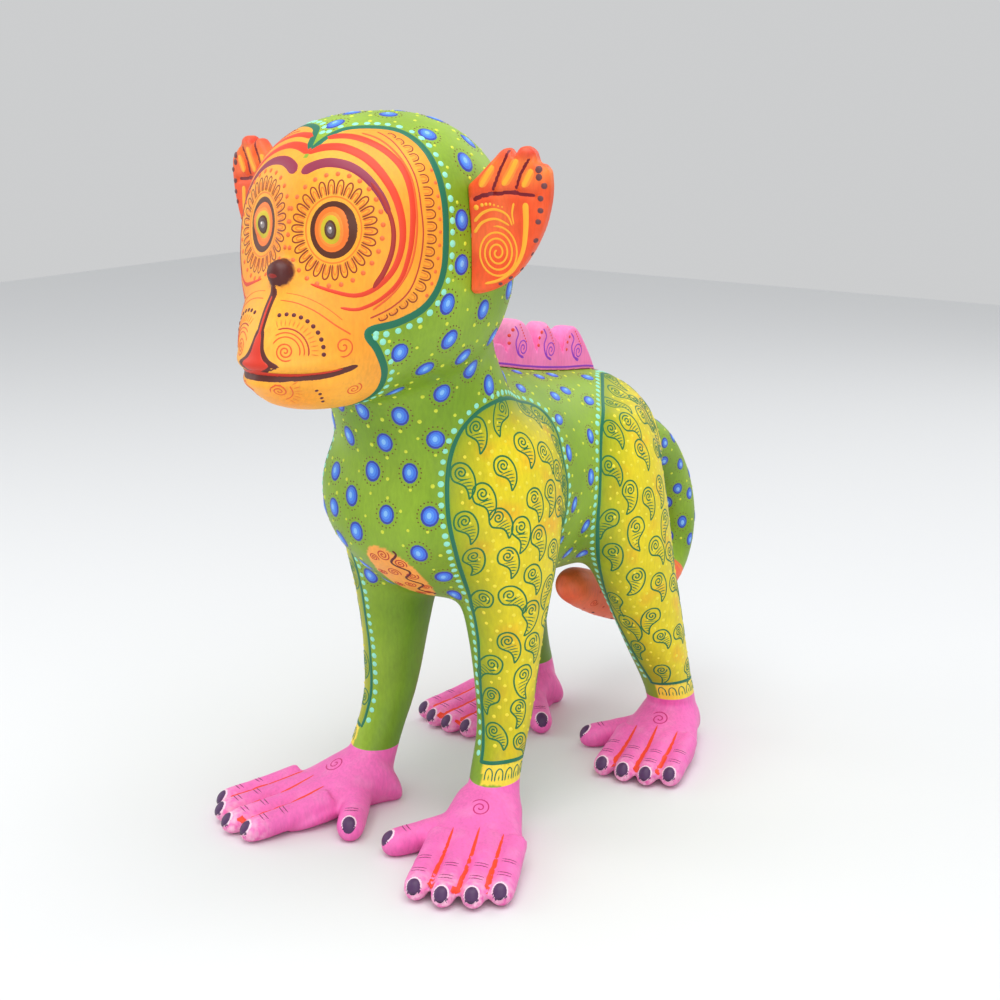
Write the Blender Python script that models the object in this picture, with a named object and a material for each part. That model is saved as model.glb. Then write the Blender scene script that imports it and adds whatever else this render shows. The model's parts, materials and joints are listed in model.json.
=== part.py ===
"""Painted wooden monkey standing on four hands, in the manner of an Oaxacan alebrije.

The figure is carved from copal wood as a torso block with shoulders and hips, a head block with the
neck, and four legs. Hidden dowels and glue hold them. The ears and the tail push in on pegs and pull
off, and a toothed crest is pinned along the back. All lengths below are millimetres and become
metres when a mesh is made. The figure looks along -Y, its left side is +X, and Z = 0 is the table.
"""

import math

import bmesh
import bpy
from mathutils import Matrix, Vector

MM = 0.001

# Driving dimensions
SHIFT = Vector((0.0, 1.9, 0.0))  # brings the middle of the figure's box over the origin
LEG_CUT_Z = 82.0  # height of the glued joint between the torso and each leg
NECK_POINT = Vector((0.0, -55.0, 190.0))  # a point on the glued joint between the torso and the head
NECK_NORMAL = Vector((0.0, -0.29, 1.0)).normalized()
GLUE_GAP = 0.3  # room left between glued or pushed-together pieces
FORE_ANKLE = Vector((31.5, -60.0, 0.0))
HIND_ANKLE = Vector((38.0, 70.0, 0.0))
FORE_SPLAY = 24.0  # degrees that the fingers turn outwards
HIND_SPLAY = 14.0
HIND_HAND_SCALE = 0.96
EAR_ROOT = Vector((43.5, -84.5, 219.0))  # lowest point of the ear's straight edge, just inside the head
EAR_SWEEP = 12.0  # degrees that the ear leans back from straight out
EAR_THICKNESS = 7.0
CREST_HALF_THICKNESS = 4.5
DOWEL_RADIUS = 4.0
DOWEL_DEPTH = 16.0  # how far a dowel goes into each of its two pieces
PEG_RADIUS = 2.4
EAR_PEG_INNER = 11.0
EAR_PEG_OUTER = 10.0
TAIL_PEG_RADIUS = 3.5
TAIL_PEG_INNER = 16.0
TAIL_PEG_OUTER = 12.0
TAIL_ROOT = Vector((0.0, 80.0, 135.5))

# Mesh density
SIDES = 40
BODY_VOXEL = 3.0
HAND_VOXEL = 1.5
HEAD_TRIANGLES = 2300
TORSO_TRIANGLES = 1700
LEG_TRIANGLES = 1150
PLATE_VOXEL = 1.0
EAR_TRIANGLES = 600
CREST_TRIANGLES = 700

# Sections of the torso: y, top, bottom, half width
TORSO = [
    (80, 140, 122, 9),
    (77, 152, 110, 22),
    (70, 162, 99, 31),
    (55, 168, 90, 36),
    (30, 171, 86, 37),
    (5, 175, 87, 37),
    (-20, 180, 88, 40),
    (-45, 182, 90, 44),
    (-65, 178, 97, 41),
    (-80, 165, 108, 33),
    (-87, 150, 116, 22),
    (-90, 138, 122, 12),
]

# Sections of the neck: height, middle y, half width, half depth
NECK = [
    (150, -50, 38, 37),
    (165, -55, 37, 35.5),
    (180, -62, 34.5, 33),
    (195, -68, 33, 32),
    (210, -74, 36, 36),
]

# The skull: middle, half lengths and how square it is (2 is an ellipsoid)
SKULL_MIDDLE = Vector((0, -79.5, 230))
SKULL_HALF = Vector((45.5, 53, 50))
SKULL_REAR_HALF = 51.0
SKULL_SQUARENESS = 2.35
SKULL_REAR_SQUARENESS = 1.95
SKULL_TEMPLES = 0.9  # extra squareness at the sides, where the ears sit

# Sections of the jaw and muzzle: y, middle height, half width, half height
MUZZLE = [
    (-62, 207, 31, 25),
    (-80, 206, 34.5, 27),
    (-100, 205.5, 35, 27),
    (-112, 205.5, 33, 27.5),
    (-122.5, 205.5, 29, 27),
    (-131, 204.5, 23.5, 24.5),
    (-138, 202, 18, 20),
    (-143, 200, 13, 14.5),
    (-147, 197.5, 8, 8.5),
    (-149.3, 196, 3, 3.5),
]
EYE_MIDDLE = Vector((15.5, -115.2, 242.5))
EYE_RADIUS = 10.6
SOCKET_DEPTH = 5.0

# Sections of a left leg: height, x, y, half width, half depth
FORE_LEG = [
    (168, 22, -46, 14, 18),
    (155, 27, -44, 17, 25),
    (140, 28, -43.5, 18.5, 30),
    (120, 28, -42.5, 19, 27),
    (105, 27.5, -42, 18.5, 22),
    (90, 27.5, -42, 16.5, 18),
    (70, 28, -42.5, 13.5, 14.5),
    (45, 29, -45, 11, 11.5),
    (30, 30, -51, 10.2, 10.8),
    (20, 31, -55, 10.5, 11),
    (10, 33, -58, 11.5, 12.5),
    (-2, 33, -58, 11.5, 12.5),
]
HIND_LEG = [
    (158, 20, 36, 14, 22),
    (145, 23, 35, 17, 27),
    (130, 26, 35.5, 18.5, 29),
    (108, 30, 38.5, 18, 26),
    (88, 33, 43, 17, 21),
    (68, 35.5, 50, 15.3, 17),
    (47, 37.3, 58, 13.2, 14),
    (32, 38, 65, 11.5, 12),
    (20, 38.3, 70, 11, 11.5),
    (10, 38, 71, 11.5, 12.5),
    (-2, 38, 71, 11.5, 12.5),
]

# The back of a hand, along the fingers from the ankle: distance, top, half width
PALM = [
    (-14, 6, 7),
    (-11, 13, 11.5),
    (-3, 24, 13.5),
    (8, 21, 15.5),
    (18, 16, 18),
    (28, 12.5, 19.5),
    (36, 9.5, 19),
    (40, 6, 16),
]
FINGER_ROOT = 22.0
FORE_TIPS = [(-14.5, 60.5), (-3.5, 64.0), (7.5, 62.5), (17.0, 58.0)]  # sideways, forwards
HIND_TIPS = [(-15.3, 56.5), (-4.8, 59.5), (5.8, 60.0), (15.9, 57.0)]
FINGER_RADIUS = 4.9
THUMB_ROOT = (-4.0, 3.0)
THUMB_TIP = (-36.0, 24.5)
THUMB_RADIUS = 5.6
DIGIT_HEIGHT = 4.6  # height of a fingertip's axis over the table

# Middle line of the tail in the plane X = 0: y, z, radius
TAIL = [
    (73, 136, 9.5),
    (92, 133, 10.5),
    (113, 122, 10.5),
    (128.5, 104, 10),
    (134.5, 84, 10),
    (130, 66, 9.5),
    (114, 55, 9.5),
    (93, 53, 9.5),
    (72, 60, 9.5),
    (56, 67.5, 9),
    (45, 72.5, 7.5),
    (40, 75, 3),
]

# The ear's outline from its lower root: outwards, upwards
EAR_BOTTOM = [(-0.5, 0), (4, 0), (10.5, 2.3), (17, 7), (22.5, 14), (27, 22.5), (29.5, 31.5), (30, 39)]
EAR_FINGERS = [
    (29.5, 42.5), (27.5, 44.5), (25.3, 45), (24, 48.5), (21.3, 50.4), (18.5, 49.7), (16.8, 46.3), (15.2, 49.3),
    (12.5, 49.3), (8.5, 45.5), (3.5, 40.5), (-0.5, 37),
]

# The crest's outline in the plane X = 0: y, z
CREST_BASE = [(-22, 168), (62, 156)]
CREST_EDGE = [
    (60, 161), (55, 171), (49, 180), (43.5, 186.5), (38.5, 188), (34.5, 185), (32, 176.5),
    (28.5, 183), (23, 190), (18, 192.5), (14, 190), (11.5, 179.5),
    (7.5, 187), (2.5, 194), (-2, 196), (-6, 192.5), (-9.5, 183),
    (-13, 187), (-17, 188), (-21, 183),
]


def vec(x, y, z):
    """A point or direction given in millimetres, as a Blender vector in metres."""
    return Vector((x, y, z)) * MM


def smooth_rows(rows, steps):
    """Rows of numbers with Catmull-Rom rows between them, steps to each interval."""
    made = []
    last = len(rows) - 1
    for i in range(last):
        p0, p1, p2, p3 = rows[max(i - 1, 0)], rows[i], rows[i + 1], rows[min(i + 2, last)]
        for k in range(steps):
            t = k / steps
            made.append(tuple(
                0.5 * (2 * b + (c - a) * t + (2 * a - 5 * b + 4 * c - d) * t**2 + (3 * b - a - 3 * c + d) * t**3)
                for a, b, c, d in zip(p0, p1, p2, p3)
            ))
    made.append(tuple(rows[-1]))
    return made


def add_tube(bm, sections, sides=SIDES):
    """Adds a closed tube of elliptical sections to bm. A section is its centre and its two half axes."""
    rings = []
    for centre, u, v in sections:
        angles = [2 * math.pi * k / sides for k in range(sides)]
        rings.append([bm.verts.new((centre + u * math.cos(a) + v * math.sin(a)) * MM) for a in angles])
    for low, high in zip(rings, rings[1:]):
        for k in range(sides):
            n = (k + 1) % sides
            bm.faces.new((low[k], low[n], high[n], high[k]))
    bm.faces.new(list(reversed(rings[0])))
    bm.faces.new(rings[-1])


def add_skull(bm):
    """Adds the skull, a rounded box between an ellipsoid and a block."""
    made = bmesh.ops.create_icosphere(bm, subdivisions=5, radius=1.0)
    for v in made["verts"]:
        rear = max(v.co.y, 0.0)
        power = SKULL_SQUARENESS + (SKULL_REAR_SQUARENESS - SKULL_SQUARENESS) * min(rear * 2, 1)
        power += SKULL_TEMPLES * v.co.x**2 * (1 - abs(v.co.y)) ** 2
        half_y = SKULL_HALF.y + (SKULL_REAR_HALF - SKULL_HALF.y) * rear
        reach = sum(abs(c) ** power for c in v.co) ** (-1 / power)
        v.co = (SKULL_MIDDLE + Vector([c * reach * half for c, half in zip(v.co, (SKULL_HALF.x, half_y, SKULL_HALF.z))])) * MM


def add_eyes(bm):
    """Adds the two domed eyes."""
    for side in (1, -1):
        centre = Vector((EYE_MIDDLE.x * side, EYE_MIDDLE.y, EYE_MIDDLE.z))
        bmesh.ops.create_icosphere(bm, subdivisions=3, radius=EYE_RADIUS * MM, matrix=Matrix.Translation(centre * MM))


def upright(rows):
    """Level sections from rows of height, x, y, half width, half depth."""
    return [(Vector((x, y, z)), Vector((hx, 0, 0)), Vector((0, hy, 0))) for z, x, y, hx, hy in rows]


def crosswise(rows):
    """Sections across Y from rows of y, middle height, half width, half height."""
    return [(Vector((0, y, z)), Vector((hx, 0, 0)), Vector((0, 0, hz))) for y, z, hx, hz in rows]


def path_sections(points, radii):
    """Round sections along a line of points."""
    made = []
    for i, (point, radius) in enumerate(zip(points, radii)):
        ahead = points[min(i + 1, len(points) - 1)] - points[max(i - 1, 0)]
        side = ahead.cross(Vector((0, 0, 1)))
        if side.length < 0.01 * ahead.length:
            side = Vector((1, 0, 0))
        side.normalize()
        made.append((point, side * radius, side.cross(ahead).normalized() * radius))
    return made


def digit_sections(root, tip, radius):
    """A finger from root to tip: the axis drops to the table, and the end is rounded."""
    length = (tip - root).length
    stops = [0, 0.25, 0.5, 0.72, 0.86, 0.94, 0.985, 1.0]
    widths = [1.0, 1.0, 1.0, 1.02, 0.98, 0.8, 0.5, 0.18]
    points = [root.lerp(tip, s) for s in stops]
    for point, s in zip(points, stops):
        point.z = DIGIT_HEIGHT + 5.0 * (1 - s) ** 1.5 - 0.3 * (s * length > 0.9 * length)
    return path_sections(points, [radius * w for w in widths])


def hand_frame(ankle, splay, scale, side):
    """Turns a hand's own coordinates (outwards, forwards, up) into the figure's."""
    angle = math.radians(splay)
    forwards = Vector((math.sin(angle), -math.cos(angle), 0)) * scale
    outwards = Vector((math.cos(angle), math.sin(angle), 0)) * scale
    start = Vector((ankle.x, ankle.y, 0))

    def place(out, ahead, up):
        point = start + outwards * out + forwards * ahead + Vector((0, 0, up))
        return Vector((point.x * side, point.y, point.z))

    return place


def add_hand(bm, ankle, splay, scale, tips, side):
    """Adds one hand: the sloping back, four fingers side by side and the thumb."""
    place = hand_frame(ankle, splay, scale, side)
    sections = []
    for ahead, top, half in smooth_rows(PALM, 3):
        middle = place(0, ahead, top / 2 - 1)
        across = place(half, ahead, top / 2 - 1) - middle
        sections.append((middle, across, Vector((0, 0, top / 2 + 1))))
    add_tube(bm, sections)
    for out, ahead in tips:
        root = place(out * 0.92, FINGER_ROOT, 0)
        add_tube(bm, digit_sections(root, place(out, ahead, 0), FINGER_RADIUS * scale), 20)
    thumb = digit_sections(place(*THUMB_ROOT, 0), place(*THUMB_TIP, 0), THUMB_RADIUS * scale)
    add_tube(bm, thumb, 20)


def finished_mesh(name, bm):
    """The mesh of bm with its normals facing out."""
    bmesh.ops.recalc_face_normals(bm, faces=bm.faces)
    if bm.calc_volume(signed=True) < 0:
        bmesh.ops.reverse_faces(bm, faces=bm.faces)
    mesh = bpy.data.meshes.new(name)
    bm.to_mesh(mesh)
    bm.free()
    return mesh


def helper(name, mesh):
    """An object that shapes others and isn't part of the figure."""
    obj = bpy.data.objects.new(name, mesh)
    bpy.context.scene.collection.objects.link(obj)
    obj.location = SHIFT * MM
    obj.hide_render = True
    obj.display_type = "WIRE"
    return obj


def evaluated_mesh(obj):
    """The object's mesh with its modifiers applied."""
    bpy.context.view_layer.update()
    graph = bpy.context.evaluated_depsgraph_get()
    return bpy.data.meshes.new_from_object(obj.evaluated_get(graph), depsgraph=graph)


def fused(name, mesh, voxel, rounds):
    """One skin round all the tubes of mesh, smoothed so that they flow into each other."""
    obj = helper(name, mesh)
    remesh = obj.modifiers.new("Remesh", "REMESH")
    remesh.mode = "VOXEL"
    remesh.voxel_size = voxel * MM
    smooth = obj.modifiers.new("Smooth", "SMOOTH")
    smooth.factor = 0.5
    smooth.iterations = rounds
    return evaluated_mesh(obj)


def press_orbits(mesh):
    """Presses the two eye sockets into the front of the skull."""
    for v in mesh.vertices:
        x, y, z = v.co / MM
        if y < -80:
            for side in (1, -1):
                gap = ((x - 17.5 * side) / 13) ** 2 + ((z - 241) / 15) ** 2
                v.co.y += SOCKET_DEPTH * math.exp(-gap) * MM


def body_mesh():
    """The torso, neck, head and legs without hands, flowing into each other."""
    bm = bmesh.new()
    torso = [(y, (top + low) / 2, half, (top - low) / 2) for y, top, low, half in TORSO]
    add_tube(bm, crosswise(smooth_rows(torso, 4)))
    neck = [(z, 0, y, half, depth) for z, y, half, depth in NECK]
    add_tube(bm, upright(smooth_rows(neck, 4)))
    add_tube(bm, crosswise(smooth_rows(MUZZLE, 4)))
    add_skull(bm)
    for rows in (FORE_LEG, HIND_LEG):
        for side in (1, -1):
            leg = [(z, x * side, y, hx, hy) for z, x, y, hx, hy in smooth_rows(rows, 4)]
            add_tube(bm, upright(leg))
    made = fused("body_form", finished_mesh("body_form", bm), BODY_VOXEL, 9)
    press_orbits(made)
    return made


def carved_form():
    """The whole carved figure as one closed helper, which is then sawn into its blocks."""
    bm = bmesh.new()
    bm.from_mesh(body_mesh())
    add_eyes(bm)
    for side in (1, -1):
        add_hand(bm, FORE_ANKLE, FORE_SPLAY, 1.0, FORE_TIPS, side)
        add_hand(bm, HIND_ANKLE, HIND_SPLAY, HIND_HAND_SCALE, HIND_TIPS, side)
    return helper("carved_form", fused("carved_form_raw", finished_mesh("carved_form", bm), HAND_VOXEL, 4))


def keep_side(bm, point, normal):
    """Saws bm with a plane, drops what is on the normal's side and closes the cut."""
    geometry = bm.verts[:] + bm.edges[:] + bm.faces[:]
    bmesh.ops.bisect_plane(
        bm, geom=geometry, dist=1e-7, plane_co=point * MM, plane_no=normal, clear_outer=True
    )
    open_edges = [e for e in bm.edges if e.is_boundary]
    bmesh.ops.holes_fill(bm, edges=open_edges, sides=0)


def material(name, colour, roughness):
    """A painted or bare wood surface."""
    made = bpy.data.materials.new(name)
    made.use_nodes = True
    shader = made.node_tree.nodes["Principled BSDF"]
    shader.inputs["Base Color"].default_value = (*colour, 1.0)
    shader.inputs["Roughness"].default_value = roughness
    shader.inputs["Metallic"].default_value = 0.0
    return made


def part(name, mesh, paint):
    """A finished piece of the figure."""
    obj = bpy.data.objects.new(name, mesh)
    bpy.context.scene.collection.objects.link(obj)
    obj.location = SHIFT * MM
    mesh.materials.clear()
    mesh.materials.append(paint)
    mesh.shade_smooth()
    return obj


def thinned(mesh, triangles):
    """The mesh with about that many triangles."""
    count = sum(len(p.vertices) - 2 for p in mesh.polygons)
    obj = helper("thinning", mesh)
    if count > triangles:
        decimate = obj.modifiers.new("Decimate", "DECIMATE")
        decimate.ratio = triangles / count
    made = evaluated_mesh(obj)
    bpy.data.objects.remove(obj)
    return made


def sawn(form, triangles, *cuts):
    """A block of the form: thinned, then cut by planes given as (point, normal)."""
    bm = bmesh.new()
    bm.from_mesh(form)
    margin = 6.0
    for point, normal in cuts:
        keep_side(bm, point + normal * margin, normal)
    rough = thinned(finished_mesh("rough", bm), triangles)
    bm = bmesh.new()
    bm.from_mesh(rough)
    for point, normal in cuts:
        keep_side(bm, point, normal)
    bmesh.ops.triangulate(bm, faces=bm.faces)
    return finished_mesh("block", bm)


def cylinder(name, start, end, radius, sides=20):
    """A helper cylinder between two points in millimetres."""
    along = end - start
    bm = bmesh.new()
    turn = along.to_track_quat("Z", "Y").to_matrix().to_4x4()
    place = Matrix.Translation((start + end) / 2 * MM) @ turn
    bmesh.ops.create_cone(
        bm, cap_ends=True, segments=sides, radius1=radius * MM, radius2=radius * MM,
        depth=along.length * MM, matrix=place,
    )
    return finished_mesh(name, bm)


def subtract(obj, cutter):
    """Cuts a helper out of a piece."""
    modifier = obj.modifiers.new("Cut", "BOOLEAN")
    modifier.operation = "DIFFERENCE"
    modifier.solver = "EXACT"
    modifier.object = cutter


def dowel(name, middle, axis, inner, outer, radius, wood, bored):
    """A round pin from inner before the middle to outer after it, and its holes in the bored pieces."""
    axis = axis.normalized()
    pin = part(name, cylinder(name, middle - axis * inner, middle + axis * outer, radius, 16), wood)
    slack = 1.0  # the holes are a little deeper than the pin
    start, end = middle - axis * (inner + slack), middle + axis * (outer + slack)
    hole = helper(name + "_hole", cylinder(name + "_hole", start, end, radius + GLUE_GAP))
    for obj in bored:
        subtract(obj, hole)
    return pin


def flat_plate(outline, half_thickness, to_point, edge):
    """A plate from an outline of two coordinates, thinner by edge on its rim. to_point gives 3D points."""
    bm = bmesh.new()
    rims = []
    inset = [(0.0, -half_thickness), (edge, -half_thickness), (edge, half_thickness), (0.0, half_thickness)]
    centre = [sum(p[k] for p in outline) / len(outline) for k in (0, 1)]
    order = [(1, inset[1]), (0, (0.0, -half_thickness + edge)), (0, (0.0, half_thickness - edge)), (1, inset[2])]
    for pulled, (_, depth) in order:
        ring = []
        for a, b in outline:
            away = math.hypot(a - centre[0], b - centre[1])
            share = 1 - pulled * edge / max(away, edge)
            point = to_point(centre[0] + (a - centre[0]) * share, centre[1] + (b - centre[1]) * share, depth)
            ring.append(bm.verts.new(point * MM))
        rims.append(ring)
    for low, high in zip(rims, rims[1:]):
        for k in range(len(outline)):
            n = (k + 1) % len(outline)
            bm.faces.new((low[k], low[n], high[n], high[k]))
    bm.faces.new(list(reversed(rims[0])))
    bm.faces.new(rims[-1])
    bmesh.ops.triangulate(bm, faces=bm.faces)
    return bm


def ear_frame(side):
    """Turns an ear's own coordinates (outwards, upwards, forwards) into the figure's."""
    angle = math.radians(EAR_SWEEP)
    out = Vector((math.cos(angle), math.sin(angle), 0))
    facing = Vector((math.sin(angle), -math.cos(angle), 0))

    def place(outwards, upwards, forwards):
        point = EAR_ROOT + out * outwards + Vector((0, 0, upwards)) + facing * forwards
        return Vector((point.x * side, point.y, point.z))

    return place


def make_ear(name, side, paint, skin):
    """One ear: a cupped plate with three finger-like lobes, shaped to lie against the head."""
    place = ear_frame(side)
    outline = smooth_rows(EAR_BOTTOM, 3)[:-1] + smooth_rows(EAR_FINGERS, 2)
    bm = flat_plate(outline, EAR_THICKNESS / 2, place, 1.6)
    ear = part(name, thinned(fused(name + "_form", finished_mesh(name, bm), PLATE_VOXEL, 1), EAR_TRIANGLES), paint)
    subtract(ear, skin)
    return ear


def make_crest(paint, skin):
    """The toothed crest along the spine."""
    outline = CREST_BASE + CREST_EDGE
    bm = flat_plate(outline, CREST_HALF_THICKNESS, lambda y, z, x: Vector((x, y, z)), 1.8)
    crest = part("crest", thinned(fused("crest_form", finished_mesh("crest", bm), PLATE_VOXEL, 1), CREST_TRIANGLES), paint)
    subtract(crest, skin)
    return crest


def make_tail(paint, skin):
    """The tail: out of the rump, down behind and forwards between the hind legs."""
    rows = smooth_rows(TAIL, 3)
    points = [Vector((0, y, z)) for y, z, _ in rows]
    bm = bmesh.new()
    sections = []
    for i, (point, row) in enumerate(zip(points, rows)):
        ahead = points[min(i + 1, len(points) - 1)] - points[max(i - 1, 0)]
        up = ahead.cross(Vector((1, 0, 0))).normalized()
        sections.append((point, Vector((row[2], 0, 0)), up * row[2]))
    add_tube(bm, sections, 16)
    bmesh.ops.triangulate(bm, faces=bm.faces)
    tail = part("tail", finished_mesh("tail", bm), paint)
    subtract(tail, skin)
    return tail


def grown(name, mesh):
    """The mesh grown by the glue gap: a piece that leans on it is cut to this."""
    bm = bmesh.new()
    bm.from_mesh(mesh)
    bm.normal_update()
    moves = [(v, v.normal.copy()) for v in bm.verts]
    for v, normal in moves:
        v.co += normal * (GLUE_GAP + 0.05) * MM
    return helper(name, finished_mesh(name, bm))


def main():
    for obj in list(bpy.data.objects):
        bpy.data.objects.remove(obj)
    green = material("green_paint", (0.26, 0.46, 0.04), 0.45)
    orange = material("orange_paint", (0.9, 0.22, 0.04), 0.45)
    pink = material("pink_paint", (0.85, 0.18, 0.45), 0.5)
    wood = material("copal_wood", (0.78, 0.62, 0.42), 0.7)

    form = carved_form().data
    up, down = Vector((0, 0, 1)), Vector((0, 0, -1))
    half_gap = GLUE_GAP / 2
    leg_top = Vector((0, 0, LEG_CUT_Z))

    torso = part("torso", sawn(
        form, TORSO_TRIANGLES, (leg_top + up * half_gap, down), (NECK_POINT - NECK_NORMAL * half_gap, NECK_NORMAL),
    ), green)
    head = part("head", sawn(form, HEAD_TRIANGLES, (NECK_POINT + NECK_NORMAL * half_gap, -NECK_NORMAL)), green)

    torso_skin = grown("torso_skin", torso.data)
    head_skin = grown("head_skin", head.data)

    middle_y = (FORE_ANKLE.y + HIND_ANKLE.y) / 2
    legs = {}
    for name, side, end in (
        ("foreleg_left", 1, 1), ("foreleg_right", -1, 1), ("hindleg_left", 1, -1), ("hindleg_right", -1, -1),
    ):
        cuts = [
            (Vector((0, 0, 0)), down),
            (leg_top - up * half_gap, up),
            (Vector((0, 0, 0)), Vector((-side, 0, 0))),
            (Vector((0, middle_y, 0)), Vector((0, end, 0))),
        ]
        legs[name] = part(name, sawn(form, LEG_TRIANGLES, *cuts), green)

    for name, leg in legs.items():
        rows = FORE_LEG if "fore" in name else HIND_LEG
        side = 1 if "left" in name else -1
        z, x, y = next(row[:3] for row in rows if row[0] <= 80)
        middle = Vector((x * side, y, LEG_CUT_Z))
        dowel(name + "_dowel", middle, up, DOWEL_DEPTH, DOWEL_DEPTH, DOWEL_RADIUS, wood, [leg, torso])
    dowel("neck_dowel", NECK_POINT, NECK_NORMAL, 20, 20, 6.0, wood, [head, torso])

    sweep = math.radians(EAR_SWEEP)
    for label, side in (("left", 1), ("right", -1)):
        ear = make_ear("ear_" + label, side, orange, head_skin)
        middle = ear_frame(side)(3.5, 20, 0)
        out = Vector((math.cos(sweep) * side, math.sin(sweep), 0))
        dowel("ear_peg_" + label, middle, out, EAR_PEG_INNER, EAR_PEG_OUTER, PEG_RADIUS, wood, [ear, head])

    tail = make_tail(green, torso_skin)
    dowel(
        "tail_peg", TAIL_ROOT, Vector((0, 1, 0)), TAIL_PEG_INNER, TAIL_PEG_OUTER, TAIL_PEG_RADIUS, wood, [tail, torso],
    )
    crest = make_crest(pink, torso_skin)
    for label, y, z in (("front", 2.0, 172.0), ("rear", 38.0, 168.0)):
        dowel("crest_pin_" + label, Vector((0, y, z)), up, 8, 8, 1.5, wood, [crest, torso])


main()
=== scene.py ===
"""Looks of the painted wooden monkey: the carving at full detail and every brush stroke on it.

The figure faces -Y, its left is +X, and the table is Z = 0. Shapes and strokes are worked out in
millimetres in the carving's own frame; placed() turns them into metres in the model's frame.
"""

import json
import math
import random

import bmesh
import bpy
import numpy as np
from mathutils import Matrix, Vector, noise
from mathutils.bvhtree import BVHTree

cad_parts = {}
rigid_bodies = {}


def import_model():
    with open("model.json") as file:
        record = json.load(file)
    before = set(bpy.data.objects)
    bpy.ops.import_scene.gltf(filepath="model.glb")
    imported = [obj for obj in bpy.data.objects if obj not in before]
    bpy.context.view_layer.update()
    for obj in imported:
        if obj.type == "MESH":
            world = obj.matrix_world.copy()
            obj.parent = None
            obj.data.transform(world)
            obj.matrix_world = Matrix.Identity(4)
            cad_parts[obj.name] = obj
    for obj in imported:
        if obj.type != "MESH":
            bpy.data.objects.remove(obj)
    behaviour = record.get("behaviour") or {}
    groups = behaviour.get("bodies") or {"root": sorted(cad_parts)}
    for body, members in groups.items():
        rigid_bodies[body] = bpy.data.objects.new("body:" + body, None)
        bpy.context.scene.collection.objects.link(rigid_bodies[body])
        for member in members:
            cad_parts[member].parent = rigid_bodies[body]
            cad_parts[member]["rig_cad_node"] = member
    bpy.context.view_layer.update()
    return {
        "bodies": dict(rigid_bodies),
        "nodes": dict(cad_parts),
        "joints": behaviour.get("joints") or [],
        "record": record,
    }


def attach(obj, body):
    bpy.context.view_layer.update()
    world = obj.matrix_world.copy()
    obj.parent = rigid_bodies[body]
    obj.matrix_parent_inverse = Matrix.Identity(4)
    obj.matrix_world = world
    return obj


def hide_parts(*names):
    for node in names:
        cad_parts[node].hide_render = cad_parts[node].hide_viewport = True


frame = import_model()

MM = 0.001
SHIFT = Vector((0.0, 1.9, 0.0))
LEG_CUT_Z = 82.0
NECK_POINT = Vector((0.0, -55.0, 190.0))
NECK_NORMAL = Vector((0.0, -0.29, 1.0)).normalized()
UP = Vector((0, 0, 1))
rng = random.Random(11)


def world(v):
    """Metres in the model's frame from millimetres in the carving's."""
    return (v + SHIFT) * MM


# ---------------------------------------------------------------- shapes of the carving

TORSO = [
    (80, 140, 122, 9), (77, 152, 110, 22), (70, 162, 99, 31), (55, 168, 90, 36), (30, 171, 86, 37), (5, 175, 87, 37),
    (-20, 180, 88, 40), (-45, 182, 90, 44), (-65, 178, 97, 41), (-80, 165, 108, 33), (-87, 150, 116, 22), (-90, 138, 122, 12),
]
NECK = [(150, -50, 38, 37), (165, -55, 37, 35.5), (180, -62, 34.5, 33), (195, -68, 33, 32), (210, -74, 36, 36)]
SKULL_MIDDLE = Vector((0, -79.5, 230))
SKULL_HALF = Vector((45.5, 53, 50))
SKULL_REAR_HALF = 51.0
SKULL_SQUARENESS = 2.35
SKULL_REAR_SQUARENESS = 1.95
SKULL_TEMPLES = 0.9
MUZZLE = [
    (-62, 207, 31, 25), (-80, 206, 34.5, 27), (-100, 205.5, 35, 27), (-112, 205.5, 33, 27.5), (-122.5, 205.5, 29, 27),
    (-131, 204.5, 23.5, 24.5), (-138, 202, 18, 20), (-143, 200, 13, 14.5), (-147, 197.5, 8, 8.5), (-149.3, 196, 3, 3.5),
]
EYE_MIDDLE = Vector((15.5, -115.2, 242.5))
EYE_RADIUS = 10.6
FORE_LEG = [
    (168, 22, -46, 14, 18), (155, 27, -44, 17, 25), (140, 28, -43.5, 18.5, 30), (120, 28, -42.5, 19, 27),
    (105, 27.5, -42, 18.5, 22), (90, 27.5, -42, 16.5, 18), (70, 28, -42.5, 13.5, 14.5), (45, 29, -45, 11, 11.5),
    (30, 30, -51, 10.2, 10.8), (20, 31, -55, 10.5, 11), (10, 33, -58, 11.5, 12.5), (-2, 33, -58, 11.5, 12.5),
]
HIND_LEG = [
    (158, 20, 36, 14, 22), (145, 23, 35, 17, 27), (130, 26, 35.5, 18.5, 29), (108, 30, 38.5, 18, 26),
    (88, 33, 43, 17, 21), (68, 35.5, 50, 15.3, 17), (47, 37.3, 58, 13.2, 14), (32, 38, 65, 11.5, 12),
    (20, 38.3, 70, 11, 11.5), (10, 38, 71, 11.5, 12.5), (-2, 38, 71, 11.5, 12.5),
]
FORE_ANKLE = Vector((31.5, -60.0, 0.0))
HIND_ANKLE = Vector((38.0, 70.0, 0.0))
FORE_SPLAY = 24.0
HIND_SPLAY = 14.0
HIND_HAND_SCALE = 0.96
PALM = [(-14, 6, 7), (-11, 13, 11.5), (-3, 24, 13.5), (8, 21, 15.5), (18, 16, 18), (28, 12.5, 19.5), (36, 9.5, 19), (40, 6, 16)]
FINGER_ROOT = 22.0
FORE_TIPS = [(-14.5, 60.5), (-3.5, 64.0), (7.5, 62.5), (17.0, 58.0)]
HIND_TIPS = [(-15.3, 56.5), (-4.8, 59.5), (5.8, 60.0), (15.9, 57.0)]
FINGER_RADIUS = 4.9
THUMB_ROOT = (-4.0, 3.0)
THUMB_TIP = (-36.0, 24.5)
THUMB_RADIUS = 5.6
DIGIT_HEIGHT = 4.6
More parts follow.
